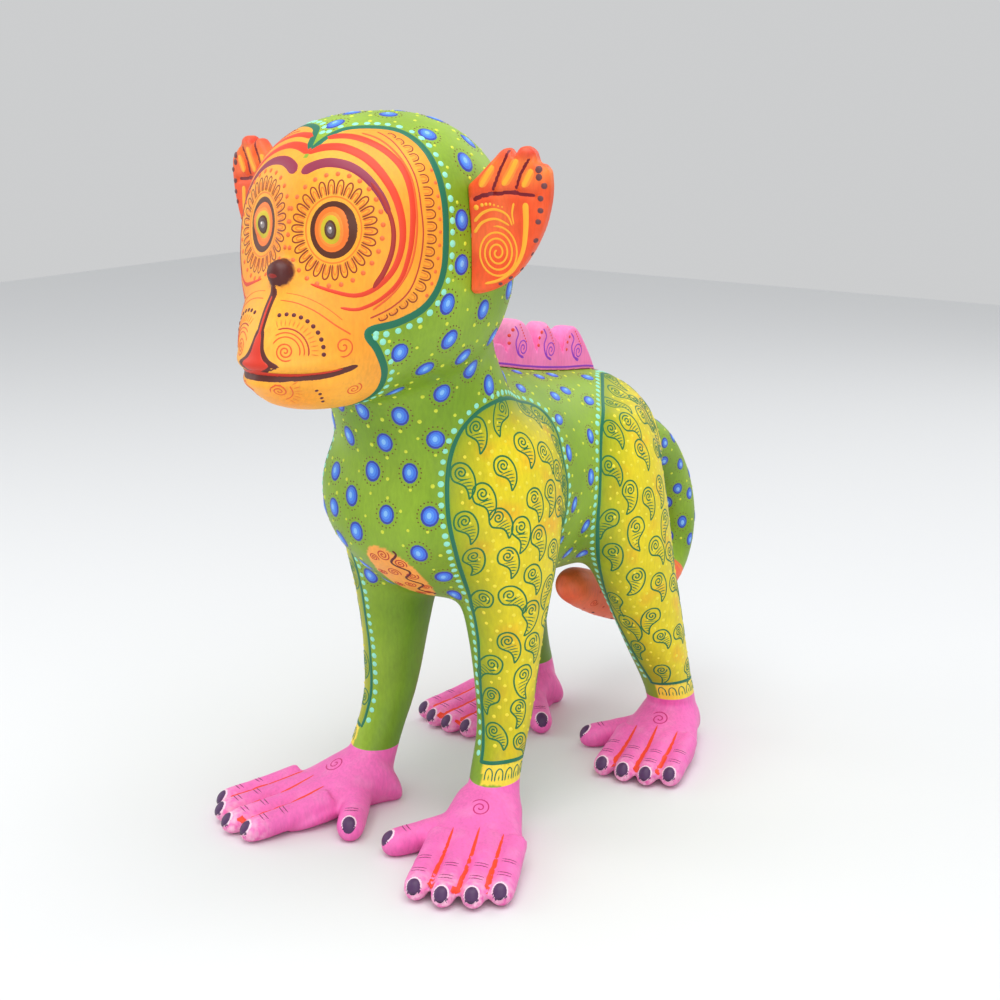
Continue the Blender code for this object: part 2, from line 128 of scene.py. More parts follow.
TAIL = [
    (73, 136, 9.5), (92, 133, 10.5), (113, 122, 10.5), (128.5, 104, 10), (134.5, 84, 10), (130, 66, 9.5),
    (114, 55, 9.5), (93, 53, 9.5), (72, 60, 9.5), (56, 67.5, 9), (45, 72.5, 7.5), (40, 75, 3),
]
EAR_ROOT = Vector((43.5, -84.5, 219.0))
EAR_SWEEP = 12.0
EAR_THICKNESS = 7.0
EAR_BOTTOM = [(-0.5, 0), (4, 0), (10.5, 2.3), (17, 7), (22.5, 14), (27, 22.5), (29.5, 31.5), (30, 39)]
EAR_FINGERS = [
    (29.5, 42.5), (27.5, 44.5), (25.3, 45), (24, 48.5), (21.3, 50.4), (18.5, 49.7), (16.8, 46.3), (15.2, 49.3),
    (12.5, 49.3), (8.5, 45.5), (3.5, 40.5), (-0.5, 37),
]
CREST_HALF_THICKNESS = 4.5
CREST_BASE = [(-22, 168), (62, 156)]
CREST_EDGE = [
    (60, 161), (55, 171), (49, 180), (43.5, 186.5), (38.5, 188), (34.5, 185), (32, 176.5), (28.5, 183), (23, 190),
    (18, 192.5), (14, 190), (11.5, 179.5), (7.5, 187), (2.5, 194), (-2, 196), (-6, 192.5), (-9.5, 183), (-13, 187),
    (-17, 188), (-21, 183),
]


def smooth_rows(rows, steps):
    """Rows of numbers with Catmull-Rom rows between them."""
    made, last = [], len(rows) - 1
    for i in range(last):
        p0, p1, p2, p3 = rows[max(i - 1, 0)], rows[i], rows[i + 1], rows[min(i + 2, last)]
        for k in range(steps):
            t = k / steps
            made.append(tuple(
                0.5 * (2 * b + (c - a) * t + (2 * a - 5 * b + 4 * c - d) * t**2 + (3 * b - a - 3 * c + d) * t**3)
                for a, b, c, d in zip(p0, p1, p2, p3)
            ))
    made.append(tuple(rows[-1]))
    return made


def add_tube(bm, sections, sides=64):
    """A closed tube of elliptical sections, each a centre and two half axes."""
    rings = []
    for centre, u, v in sections:
        angles = [2 * math.pi * k / sides for k in range(sides)]
        rings.append([bm.verts.new(centre + u * math.cos(a) + v * math.sin(a)) for a in angles])
    for low, high in zip(rings, rings[1:]):
        for k in range(sides):
            n = (k + 1) % sides
            bm.faces.new((low[k], low[n], high[n], high[k]))
    bm.faces.new(list(reversed(rings[0])))
    bm.faces.new(rings[-1])


def upright(rows):
    return [(Vector((x, y, z)), Vector((hx, 0, 0)), Vector((0, hy, 0))) for z, x, y, hx, hy in rows]


def crosswise(rows):
    return [(Vector((0, y, z)), Vector((hx, 0, 0)), Vector((0, 0, hz))) for y, z, hx, hz in rows]


def path_sections(points, radii):
    """Round sections along a line of points."""
    made = []
    for i, (point, radius) in enumerate(zip(points, radii)):
        ahead = points[min(i + 1, len(points) - 1)] - points[max(i - 1, 0)]
        side = ahead.cross(UP).normalized()
        made.append((point, side * radius, side.cross(ahead).normalized() * radius))
    return made


def digit_sections(root, tip, radius):
    """A finger: its axis drops to the table, its knuckles swell a little and its end is rounded."""
    length = (tip - root).length
    stops = [0, 0.25, 0.42, 0.5, 0.58, 0.72, 0.86, 0.94, 0.985, 1.0]
    widths = [1.0, 1.0, 1.0, 1.03, 1.0, 1.02, 0.98, 0.8, 0.5, 0.18]
    points = [root.lerp(tip, s) for s in stops]
    for point, s in zip(points, stops):
        point.z = DIGIT_HEIGHT + 5.0 * (1 - s) ** 1.5 - 0.3 * (s * length > 0.9 * length)
    return path_sections(points, [radius * w for w in widths])


def hand_frame(ankle, splay, scale, side):
    """Turns a hand's own coordinates (outwards, forwards, up) into the carving's."""
    angle = math.radians(splay)
    forwards = Vector((math.sin(angle), -math.cos(angle), 0)) * scale
    outwards = Vector((math.cos(angle), math.sin(angle), 0)) * scale
    start = Vector((ankle.x, ankle.y, 0))

    def place(out, ahead, up=0.0):
        point = start + outwards * out + forwards * ahead + Vector((0, 0, up))
        return Vector((point.x * side, point.y, point.z))

    return place


HANDS = {}
for _side, _label in ((1, "left"), (-1, "right")):
    HANDS["foreleg_" + _label] = (hand_frame(FORE_ANKLE, FORE_SPLAY, 1.0, _side), 1.0, FORE_TIPS, _side)
    HANDS["hindleg_" + _label] = (hand_frame(HIND_ANKLE, HIND_SPLAY, HIND_HAND_SCALE, _side), HIND_HAND_SCALE, HIND_TIPS, _side)


def add_hand(bm, place, scale, tips, side):
    """One hand: the sloping back, four fingers side by side and the thumb."""
    sections = []
    for ahead, top, half in smooth_rows(PALM, 4):
        middle = place(0, ahead, top / 2 - 1)
        sections.append((middle, place(half, ahead, top / 2 - 1) - middle, Vector((0, 0, top / 2 + 1))))
    add_tube(bm, sections)
    for out, ahead in tips:
        add_tube(bm, digit_sections(place(out * 0.92, FINGER_ROOT), place(out, ahead), FINGER_RADIUS * scale), 32)
    add_tube(bm, digit_sections(place(*THUMB_ROOT), place(*THUMB_TIP), THUMB_RADIUS * scale), 32)


def add_ball(bm, centre, half):
    """An ellipsoid."""
    place = Matrix.Translation(centre) @ Matrix.Diagonal((*half, 1.0))
    bmesh.ops.create_icosphere(bm, subdivisions=4, radius=1.0, matrix=place)


def add_skull(bm):
    """The skull, between an ellipsoid and a block."""
    made = bmesh.ops.create_icosphere(bm, subdivisions=5, radius=1.0)
    for v in made["verts"]:
        rear = max(v.co.y, 0.0)
        power = SKULL_SQUARENESS + (SKULL_REAR_SQUARENESS - SKULL_SQUARENESS) * min(rear * 2, 1)
        power += SKULL_TEMPLES * v.co.x**2 * (1 - abs(v.co.y)) ** 2
        half_y = SKULL_HALF.y + (SKULL_REAR_HALF - SKULL_HALF.y) * rear
        reach = sum(abs(c) ** power for c in v.co) ** (-1 / power)
        v.co = SKULL_MIDDLE + Vector([c * reach * half for c, half in zip(v.co, (SKULL_HALF.x, half_y, SKULL_HALF.z))])


def finished_mesh(name, bm):
    """The mesh of bm with its normals facing out."""
    bmesh.ops.recalc_face_normals(bm, faces=bm.faces)
    if bm.calc_volume(signed=True) < 0:
        bmesh.ops.reverse_faces(bm, faces=bm.faces)
    mesh = bpy.data.meshes.new(name)
    bm.to_mesh(mesh)
    bm.free()
    return mesh


def fused(name, mesh, voxel, rounds, subdivide=0):
    """One skin round all the tubes of mesh, smoothed so that they flow into each other."""
    obj = bpy.data.objects.new(name, mesh)
    bpy.context.scene.collection.objects.link(obj)
    remesh = obj.modifiers.new("Remesh", "REMESH")
    remesh.mode = "VOXEL"
    remesh.voxel_size = voxel
    smooth = obj.modifiers.new("Smooth", "SMOOTH")
    smooth.factor = 0.5
    smooth.iterations = rounds
    if subdivide:
        finer = obj.modifiers.new("Finer", "SUBSURF")
        finer.levels = finer.render_levels = subdivide
    bpy.context.view_layer.update()
    graph = bpy.context.evaluated_depsgraph_get()
    made = bpy.data.meshes.new_from_object(obj.evaluated_get(graph), depsgraph=graph)
    bpy.data.objects.remove(obj)
    return made


def verts_of(mesh):
    co = np.zeros(len(mesh.vertices) * 3)
    mesh.vertices.foreach_get("co", co)
    return co.reshape(-1, 3)


def press_orbits(mesh):
    """Presses the two eye sockets into the skull."""
    co = verts_of(mesh)
    for side in (1, -1):
        gap = ((co[:, 0] - 17.5 * side) / 13.0) ** 2 + ((co[:, 2] - 241.0) / 15.0) ** 2
        co[:, 1] += 5.0 * np.exp(-gap) * (co[:, 1] < -80)
    mesh.vertices.foreach_set("co", co.ravel())
    mesh.update()


def body_mesh():
    """Torso, neck, head and legs without hands."""
    bm = bmesh.new()
    torso = [(y, (top + low) / 2, half, (top - low) / 2) for y, top, low, half in TORSO]
    add_tube(bm, crosswise(smooth_rows(torso, 4)))
    neck = [(z, 0, y, half, depth) for z, y, half, depth in NECK]
    add_tube(bm, upright(smooth_rows(neck, 4)))
    add_tube(bm, crosswise(smooth_rows(MUZZLE, 4)))
    add_skull(bm)
    for rows in (FORE_LEG, HIND_LEG):
        for side in (1, -1):
            add_tube(bm, upright([(z, x * side, y, hx, hy) for z, x, y, hx, hy in smooth_rows(rows, 4)]))
    made = fused("body_form", finished_mesh("body_form", bm), 3.0, 9, 1)
    press_orbits(made)
    return made


NOSE = Vector((0, -134.2, 227.5))
# The mouth's line on the left side: across, height
MOUTH = [(0, 194.6), (7, 194.3), (14, 194.2), (20, 195), (25.5, 197.2)]


def carved_form():
    """The whole carving in one skin."""
    bm = bmesh.new()
    bm.from_mesh(body_mesh())
    for side in (1, -1):
        add_ball(bm, Vector((EYE_MIDDLE.x * side, EYE_MIDDLE.y, EYE_MIDDLE.z)), (EYE_RADIUS,) * 3)
    add_ball(bm, NOSE, (5.0, 4.6, 4.8))
    add_ball(bm, NOSE + Vector((0, -1.2, -7)), (2.2, 3.2, 8))
    for place, scale, tips, side in HANDS.values():
        add_hand(bm, place, scale, tips, side)
    return fused("carving", finished_mesh("carving", bm), 1.0, 4)


class Skin:
    """Nearest points and rays on a closed form, in millimetres."""

    def __init__(self, mesh):
        mesh.calc_loop_triangles()
        self.tree = BVHTree.FromPolygons(
            [v.co.copy() for v in mesh.vertices], [tuple(p.vertices) for p in mesh.polygons]
        )

    def snap(self, point):
        place, normal, _, _ = self.tree.find_nearest(point)
        return place, normal

    def cast(self, start, direction, reach=80.0):
        place, normal, _, _ = self.tree.ray_cast(start, direction, reach)
        return (place, normal) if place is not None else self.snap(start + direction * reach * 0.5)


def catmull(points, spacing, closed=False):
    """A smooth path through 3-D or 2-D points, at about that spacing."""
    points = [Vector(p) for p in points]
    n = len(points)
    made = []
    count = n if closed else n - 1
    for i in range(count):
        if closed:
            p0, p1, p2, p3 = (points[(i + k) % n] for k in (-1, 0, 1, 2))
        else:
            p0, p1, p2, p3 = points[max(i - 1, 0)], points[i], points[i + 1], points[min(i + 2, n - 1)]
        steps = max(1, round((p2 - p1).length / spacing))
        for k in range(steps):
            t = k / steps
            made.append(0.5 * (2 * p1 + (p2 - p0) * t + (2 * p0 - 5 * p1 + 4 * p2 - p3) * t**2 + (3 * p1 - p0 - 3 * p2 + p3) * t**3))
    if not closed:
        made.append(points[-1])
    return made


form = carved_form()

# Lips: a shallow channel along the mouth
mouth_line = catmull([(x * s, z) for s in (-1,) for x, z in reversed(MOUTH)][:-1] + MOUTH, 0.8)


def press_face(mesh):
    """Presses the mouth's channel into the muzzle."""
    co = verts_of(mesh)
    line = np.array([tuple(p) for p in mouth_line])
    near = np.where((co[:, 1] < -100) & (co[:, 2] > 183) & (co[:, 2] < 225))[0]
    flat = co[near][:, [0, 2]]
    gap = np.sqrt(((flat[:, None, :] - line[None, :, :]) ** 2).sum(2)).min(1)
    fade = np.clip((27 - np.abs(flat[:, 0])) / 8, 0, 1)
    push = 1.5 * np.exp(-((gap / 1.5) ** 2)) * fade - 0.9 * np.exp(-(((gap - 3.6) / 1.9) ** 2)) * fade
    middle = np.array([0.0, -100.0, 203.0])
    away = co[near] - middle
    away /= np.linalg.norm(away, axis=1)[:, None]
    co[near] -= away * push[:, None]
    mesh.vertices.foreach_set("co", co.ravel())
    mesh.update()


press_face(form)
skin = Skin(form)

# ---------------------------------------------------------------- colours


def linear(r, g, b):
    """Scene colour from a paint colour as the eye reads it, 0 to 255."""
    return tuple(((c / 255) / 12.92 if c <= 10 else ((c / 255 + 0.055) / 1.055) ** 2.4) for c in (r, g, b))


PAINTS = {
    "aqua": (150, 232, 205), "border_green": (24, 112, 82), "border_light": (60, 150, 120), "blue_rim": (52, 66, 168),
    "blue_mid": (66, 118, 228), "blue_soft": (84, 146, 242), "blue_light": (134, 192, 252), "ring_brown": (108, 70, 30), "dot_yellow": (216, 226, 60),
    "paisley": (34, 116, 64), "paisley_light": (84, 160, 80), "panel_dot": (240, 226, 60),
    "purple_brow": (146, 44, 72), "brow_red": (166, 42, 36), "stripe_red": (228, 62, 28), "stripe_orange": (234, 96, 36), "line_red": (190, 58, 40),
    "petal_brown": (146, 56, 28), "petal_orange": (238, 128, 40), "face_dot": (238, 112, 52), "maroon": (96, 34, 44),
    "eye_ring": (88, 42, 22), "eye_orange": (250, 122, 40), "eye_olive": (206, 186, 40), "pupil": (92, 74, 70),
    "pupil_grey": (150, 140, 140), "glint": (246, 240, 232), "nose": (84, 34, 32), "nose_red": (150, 40, 34),
    "lip_red": (216, 56, 36), "lip_brown": (92, 40, 34), "ear_yellow": (250, 176, 48), "ear_amber": (250, 142, 50),
    "ear_line": (120, 20, 34), "ear_dot": (108, 62, 66), "crest_purple": (150, 48, 196), "crest_red": (240, 70, 60),
    "nail": (82, 48, 92), "nail_light": (128, 92, 132), "nail_edge": (250, 214, 232), "finger_red": (246, 72, 44),
    "knuckle": (128, 36, 84), "hand_spiral": (206, 40, 120), "tail_line": (222, 74, 40), "tail_dot": (112, 30, 34),
    "cuff_line": (70, 140, 60), "cuff_yellow": (250, 222, 70), "patch_red": (196, 52, 30), "patch_maroon": (92, 24, 26),
}


def paint(name, roughness=0.42):
    """Acrylic brush paint: one plain colour with a satin skin."""
    made = bpy.data.materials.new("paint_" + name)
    made.use_nodes = True
    shader = made.node_tree.nodes["Principled BSDF"]
    shader.inputs["Base Color"].default_value = (*linear(*PAINTS[name]), 1.0)
    shader.inputs["Roughness"].default_value = roughness
    shader.inputs["Specular IOR Level"].default_value = 0.4
    return made


MATERIALS = {name: paint(name) for name in PAINTS}

# ---------------------------------------------------------------- closed lines that bound the painted areas


def mirrored(points):
    """A closed loop from its left half, which starts and ends on the middle plane."""
    points = [Vector(p) for p in points]
    return points + [Vector((-p.x, p.y, p.z)) for p in reversed(points) if abs(p.x) > 0.01]


def on_side(points, side):
    return [Vector((x * side, y, z)) for x, y, z in points]


MASK_HALF = [
    (0, -119.5, 265.6), (1.4, -116.0, 268.6), (3.2, -111.8, 271.4), (6.4, -107, 273.8), (14, -102.5, 275), (23, -97.5, 273.8), (33, -96.5, 268),
    (40.2, -97.5, 256.5), (43.4, -99, 242), (43.6, -101, 227), (41, -106.5, 217), (35, -114.5, 211.5), (28, -122.5, 208.5),
    (29.8, -119.5, 202), (29.5, -115, 193), (23, -112, 184.5), (12, -112, 180), (0, -113, 178.5),
]
MASK = mirrored(MASK_HALF)
FORE_PANEL = [
    (31, -62, 19.5), (28.5, -59.5, 35), (25.7, -57, 48), (25, -55, 62), (25.6, -57.6, 80), (24.8, -62, 97), (26.5, -68, 108),
    (29, -75, 118), (30.4, -81.7, 134), (28.8, -80.3, 149), (28.8, -76.8, 160), (31.3, -73, 168.5), (33.8, -65, 174),
    (33.8, -50, 175), (28.5, -30, 170), (29.5, -20, 164), (34, -17.5, 156), (40, -18.5, 148), (42, -17, 135), (42, -17, 118),
    (40, -18, 103), (36, -21, 92), (32.5, -25.5, 80), (31, -28.5, 68), (31, -33.5, 48), (32, -41, 34), (33, -44, 19.5),
]
# The right foreleg's panel starts further round the leg
FORE_PANEL_RIGHT = [
    (35, -62, 19.5), (32, -60, 35), (31, -58, 48), (31, -56.5, 62), (32, -58.5, 80), (32.5, -63, 97), (35, -69, 108),
    (37, -74, 118), (38, -78, 134), (35, -78, 149), (31.5, -76, 160),
] + FORE_PANEL[11:]
HIND_PANEL = [
    (39, 57, 19.5), (37.5, 54, 33), (32.8, 45, 48.5), (28, 35.7, 68), (30.3, 21.7, 90), (35, 12, 110), (37.2, 10, 132),
    (33, 17, 151), (24, 31, 160), (14, 47, 166), (9.5, 55, 167), (8, 64, 164.5), (8.5, 72, 160), (10, 78, 151), (14, 80, 141),
    (16, 79, 128), (17, 76, 114), (20, 71, 102), (28, 65, 90), (32.8, 66.7, 68), (35, 71.8, 47), (36.5, 76.5, 34), (38, 80, 19.5), (45, 77.5, 19.5), (49.5, 69, 19.5), (46.5, 60, 19.5),
]
PATCH = [
    (0, -90, 122), (6.5, -89, 121), (12.5, -86, 117), (15, -80, 111.5), (14, -71, 104), (9.5, -62, 97), (3, -57, 93.5),
    (-3, -62, 97.5), (-5.5, -71, 105), (-6, -80, 113), (-5, -86, 118.5),
]


def laid(loop, spacing=0.8, closed=True, on=None):
    """A smooth line through the points, laid on the carving."""
    first = [(on or skin).snap(p)[0] for p in catmull(loop, 2.0, closed)]
    return [(on or skin).snap(p)[0] for p in catmull(first, spacing, closed)]


LOOPS = {"mask": laid(MASK), "patch": laid(PATCH)}
for side, label in ((1, "left"), (-1, "right")):
    LOOPS["fore_" + label] = laid(on_side(FORE_PANEL if side > 0 else FORE_PANEL_RIGHT, side))
    LOOPS["hind_" + label] = laid(on_side(HIND_PANEL, side))
SEEDS = {
    "mask": Vector((0, -125, 250)), "patch": Vector((0, -85, 112)), "fore_left": Vector((46, -45, 120)),
    "fore_right": Vector((-46, -45, 120)), "hind_left": Vector((44, 40, 120)), "hind_right": Vector((-44, 40, 120)),
}

points = verts_of(form)
normals = np.zeros(len(form.vertices) * 3)
form.vertex_normals.foreach_get("vector", normals)
normals = normals.reshape(-1, 3)
links = [[] for _ in range(len(points))]
pairs = np.zeros(len(form.edges) * 2, dtype=np.int64)
form.edges.foreach_get("vertices", pairs)
for a, b in pairs.reshape(-1, 2).tolist():
    links[a].append(b)
    links[b].append(a)


def distance_to(line, candidates):
    """The distance from each candidate point to a line of points."""
    spots = np.array([tuple(p) for p in line])
    made = np.full(len(candidates), 1e9)
    for start in range(0, len(candidates), 4000):
        block = candidates[start:start + 4000]
        made[start:start + 4000] = np.sqrt(((block[:, None, :] - spots[None, :, :]) ** 2).sum(2)).min(1)
    return made


def region(name):
    """How deep inside a closed line each vertex lies, in millimetres; negative outside."""
    line = LOOPS[name]
    spots = np.array([tuple(p) for p in line])
    low, high = spots.min(0) - 12, spots.max(0) + 12
    near = np.where(((points > low) & (points < high)).all(1))[0]
    gap = np.full(len(points), 40.0)
    gap[near] = distance_to(line, points[near])
    blocked = gap < 0.95
    start = int(np.argmin(((points - np.array(SEEDS[name])) ** 2).sum(1)))
    inside = np.zeros(len(points), dtype=bool)
    inside[start] = True
    queue = [start]
    while queue:
        following = []
        for v in queue:
            for w in links[v]:
                if not inside[w] and not blocked[w]:
                    inside[w] = True
                    following.append(w)
        queue = following
    return np.where(inside, gap, np.where(blocked, 0.0, -gap))


DEPTH = {name: region(name) for name in LOOPS}


def blend_to(base, colour, share):
    share = np.clip(share, 0, 1)[:, None]
    return base * (1 - share) + np.array(colour)[None, :] * share


def field(scale, seed, which=points):
    """Smooth noise between 0 and 1 at each point."""
    offset = Vector((seed * 17.3, seed * 5.1, seed * 9.7))
    return np.array([noise.noise(Vector(p) / scale + offset) for p in which]) * 0.5 + 0.5


def tone(*rgb):
    return np.array(linear(*rgb))


def green_coat_with_painted_shade(which, facing):
    """The green body colour, with painted light and shade: lighter where the skin faces up and darker where it faces
    down, and darker on the inner sides of the legs, which is painted shade between the legs over the paint's own darker
    airbrushing there.
    """
    count = len(which)
    colour = np.tile(tone(130, 166, 30), (count, 1))
    cloud = field(26.0, 1, which)
    colour = blend_to(colour, tone(160, 196, 60), (cloud - 0.42) * 2.6 * 0.6)
    colour = blend_to(colour, tone(96, 140, 16), (0.5 - cloud) * 2.4 * 0.5)
    # Painted light and shade: lighter where the skin faces up, darker where it faces down
    lift = np.clip(facing[:, 2], -1, 1)
    colour = blend_to(colour, tone(166, 200, 70), np.clip(lift, 0, 1) * 0.35)
    colour = blend_to(colour, tone(84, 128, 14), np.clip(-lift, 0, 1) * 0.45)
    # Painted shade between the legs, over the paint's own darker airbrushing: darker on the legs' inner sides below the
    # torso
    painted_shade_and_airbrush_between_legs = np.clip(-facing[:, 0] * np.sign(which[:, 0]), 0, 1) * np.clip((108 - which[:, 2]) / 22, 0, 1)
    return blend_to(colour, tone(82, 132, 18), painted_shade_and_airbrush_between_legs * 0.6)


# The green coat, with painted light and shade from the way the skin faces
coat = green_coat_with_painted_shade(points, normals)
# The belly patch and the face mask
coat = blend_to(coat, tone(250, 170, 72), DEPTH["patch"] / 0.4)
mask_colour = np.tile(tone(254, 168, 42), (len(points), 1))
warm = field(22.0, 3)
mask_colour = blend_to(mask_colour, tone(248, 146, 38), (warm - 0.5) * 1.6)
mask_colour = blend_to(mask_colour, tone(255, 196, 80), (0.5 - warm) * 1.4)
mask_colour = blend_to(mask_colour, tone(248, 152, 50), (12 - DEPTH["mask"]) / 12 * 0.35)
coat = np.where((DEPTH["mask"] > 0.0)[:, None], mask_colour, coat)
# The brown of the nose, all round its knob
from_nose = np.sqrt(((points - np.array(NOSE)) ** 2).sum(1))
coat = blend_to(coat, tone(*PAINTS["nose"]), (5.6 - from_nose) / 0.5)
# The four yellow panels: gold in the middle, olive along their borders, orange clouds
patches = np.maximum.reduce([DEPTH[n] for n in ("fore_left", "fore_right", "hind_left", "hind_right")])
panel_colour = np.tile(tone(232, 212, 22), (len(points), 1))
mottle = field(9.0, 5)
panel_colour = blend_to(panel_colour, tone(242, 178, 24), (mottle - 0.55) * 2.2)
panel_colour = blend_to(panel_colour, tone(214, 200, 22), (0.45 - mottle) * 2.2)
panel_colour = blend_to(panel_colour, tone(144, 164, 14), (16 - patches) / 15 * 0.95)
coat = np.where((patches > 0.0)[:, None], panel_colour, coat)
# A yellow cuff below each panel
cuff = (points[:, 2] < 31.5) & (patches > 0)
coat = np.where(cuff[:, None], np.tile(tone(247, 222, 66), (len(points), 1)), coat)
# The pink of the hands
pink = np.tile(tone(246, 112, 190), (len(points), 1))
# Painted shade: darker pink where the skin faces sideways and down
pink = blend_to(pink, tone(216, 66, 150), np.clip(0.35 - normals[:, 2], 0, 1) * 0.55)
pink = blend_to(pink, tone(252, 168, 214), (field(5.0, 7) - 0.5) * 0.6)
reach = np.full(len(points), -100.0)
for place, scale, tips, side in HANDS.values():
    root = place(0, 0)
    ahead = place(0, 1) - root
    ahead.normalize()
    here = np.sign(points[:, 0]) == side
    here &= np.abs(points[:, 1] - root.y) < 75
    along = (points - np.array(root)) @ np.array(ahead)
    reach = np.where(here & (np.abs(points[:, 2]) < 30), np.maximum(reach, along / scale), reach)
pink = blend_to(pink, tone(253, 190, 220), np.clip((reach - 48) / 12, 0, 1) * np.clip(field(1.6, 9) * 2.4 - 0.7, 0, 1))

PINK_TOP = 23.5
rise = PINK_TOP + 0.7 * (field(14.0, 11) - 0.5) - points[:, 2]


def add_colours(mesh, name, values):
    layer = mesh.attributes.new(name, "FLOAT_COLOR", "POINT")
    data = np.ones((len(mesh.vertices), 4))
    data[:, :3] = values
    layer.data.foreach_set("color", data.ravel())


def add_values(mesh, name, values):
    layer = mesh.attributes.new(name, "FLOAT", "POINT")
    layer.data.foreach_set("value", np.asarray(values, dtype=np.float32))


add_colours(form, "coat", coat)
add_colours(form, "pink_coat", pink)
add_values(form, "pink_edge", np.clip(rise, -4, 4))


def coat_material(name, second=True, roughness=0.44, grain=0.12):
    """Brushed acrylic over smooth wood: colour from the coat, faint strokes in colour, gloss and height."""
    made = bpy.data.materials.new(name)
    made.use_nodes = True
    tree = made.node_tree
    shader = tree.nodes["Principled BSDF"]

    def node(kind, **settings):
        item = tree.nodes.new(kind)
        for key, value in settings.items():
            setattr(item, key, value)
        return item

    def link(a, b):
        tree.links.new(a, b)

    base = node("ShaderNodeAttribute", attribute_name="coat").outputs["Color"]
    if second:
        edge = node("ShaderNodeAttribute", attribute_name="pink_edge")
        sharp = node("ShaderNodeMapRange")
        sharp.inputs["From Min"].default_value = -0.1
        sharp.inputs["From Max"].default_value = 0.1
        link(edge.outputs["Fac"], sharp.inputs["Value"])
        other = node("ShaderNodeAttribute", attribute_name="pink_coat")
        mix = node("ShaderNodeMix", data_type="RGBA")
        link(sharp.outputs["Result"], mix.inputs["Factor"])
        link(base, mix.inputs["A"])
        link(other.outputs["Color"], mix.inputs["B"])
        base = mix.outputs["Result"]
    where = node("ShaderNodeTexCoord").outputs["Object"]
    streak_place = node("ShaderNodeMapping")
    streak_place.inputs["Scale"].default_value = (900, 900, 240)
    link(where, streak_place.inputs["Vector"])
    streak = node("ShaderNodeTexNoise")
    streak.inputs["Scale"].default_value = 1.0
    streak.inputs["Detail"].default_value = 4.0
    streak.inputs["Roughness"].default_value = 0.6
    link(streak_place.outputs["Vector"], streak.inputs["Vector"])
    cloud = node("ShaderNodeTexNoise")
    cloud.inputs["Scale"].default_value = 70.0
    cloud.inputs["Detail"].default_value = 3.0
    link(where, cloud.inputs["Vector"])
    shade = node("ShaderNodeMapRange")
    shade.inputs["From Min"].default_value = 0.3
    shade.inputs["From Max"].default_value = 0.7
    shade.inputs["To Min"].default_value = 0.90
    shade.inputs["To Max"].default_value = 1.08
    link(streak.outputs["Fac"], shade.inputs["Value"])
    shade2 = node("ShaderNodeMapRange")
    shade2.inputs["From Min"].default_value = 0.3
    shade2.inputs["From Max"].default_value = 0.7
    shade2.inputs["To Min"].default_value = 0.93
    shade2.inputs["To Max"].default_value = 1.06
    link(cloud.outputs["Fac"], shade2.inputs["Value"])
    both = node("ShaderNodeMath", operation="MULTIPLY")
    link(shade.outputs["Result"], both.inputs[0])
    link(shade2.outputs["Result"], both.inputs[1])
    colour = node("ShaderNodeVectorMath", operation="SCALE")
    link(base, colour.inputs[0])
    link(both.outputs["Value"], colour.inputs["Scale"])
    link(colour.outputs["Vector"], shader.inputs["Base Color"])
    gloss = node("ShaderNodeMapRange")
    gloss.inputs["From Min"].default_value = 0.3
    gloss.inputs["From Max"].default_value = 0.7
    gloss.inputs["To Min"].default_value = roughness - 0.06
    gloss.inputs["To Max"].default_value = roughness + 0.08
    link(streak.outputs["Fac"], gloss.inputs["Value"])
    link(gloss.outputs["Result"], shader.inputs["Roughness"])
    bump = node("ShaderNodeBump")
    bump.inputs["Strength"].default_value = grain
    bump.inputs["Distance"].default_value = 0.0003
    link(streak.outputs["Fac"], bump.inputs["Height"])
    link(bump.outputs["Normal"], shader.inputs["Normal"])
    shader.inputs["Specular IOR Level"].default_value = 0.4
    return made


CARVED_COAT = coat_material("painted_carving")

# ---------------------------------------------------------------- the carved blocks


def keep_side(bm, point, normal):
    """Saws with a plane, drops what is on the normal's side and closes the cut."""
    bmesh.ops.bisect_plane(bm, geom=bm.verts[:] + bm.edges[:] + bm.faces[:], dist=1e-5, plane_co=point, plane_no=normal, clear_outer=True)
    rim = [e for e in bm.edges if e.is_boundary]
    made = bmesh.ops.holes_fill(bm, edges=rim, sides=0)
    for e in rim:
        e.smooth = False
    return made


def placed(name, mesh, body, material, replaced=None):
    """Turns a millimetre mesh into a piece of the model that rides on its body."""
    mesh.transform(Matrix.Scale(MM, 4) @ Matrix.Translation(SHIFT))
    obj = bpy.data.objects.new(name, mesh)
    bpy.context.scene.collection.objects.link(obj)
    if material is not None:
        mesh.materials.clear()
        mesh.materials.append(material)
    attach(obj, body)
    if replaced:
        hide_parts(replaced)
    return obj


def bored(mesh, start, end, radius):
    """The mesh with a round hole in it, bare wood inside."""
    bm = bmesh.new()
    turn = (end - start).to_track_quat("Z", "Y").to_matrix().to_4x4()
    spot = Matrix.Translation((start + end) / 2) @ turn
    bmesh.ops.create_cone(bm, cap_ends=True, segments=24, radius1=radius, radius2=radius, depth=(end - start).length, matrix=spot)
    cutter_mesh = bpy.data.meshes.new("bore")
    bm.to_mesh(cutter_mesh)
    bm.free()
    add_colours(cutter_mesh, "coat", np.tile(tone(196, 160, 110), (len(cutter_mesh.vertices), 1)))
    add_values(cutter_mesh, "pink_edge", np.full(len(cutter_mesh.vertices), -4.0))
    cutter = bpy.data.objects.new("bore", cutter_mesh)
    target = bpy.data.objects.new("bored", mesh)
    for obj in (cutter, target):
        bpy.context.scene.collection.objects.link(obj)
    cut = target.modifiers.new("cut", "BOOLEAN")
    cut.operation = "DIFFERENCE"
    cut.solver = "EXACT"
    cut.object = cutter
    graph = bpy.context.evaluated_depsgraph_get()
    made = bpy.data.meshes.new_from_object(target.evaluated_get(graph), preserve_all_data_layers=True, depsgraph=graph)
    for obj in (cutter, target):
        bpy.data.objects.remove(obj)
    return made


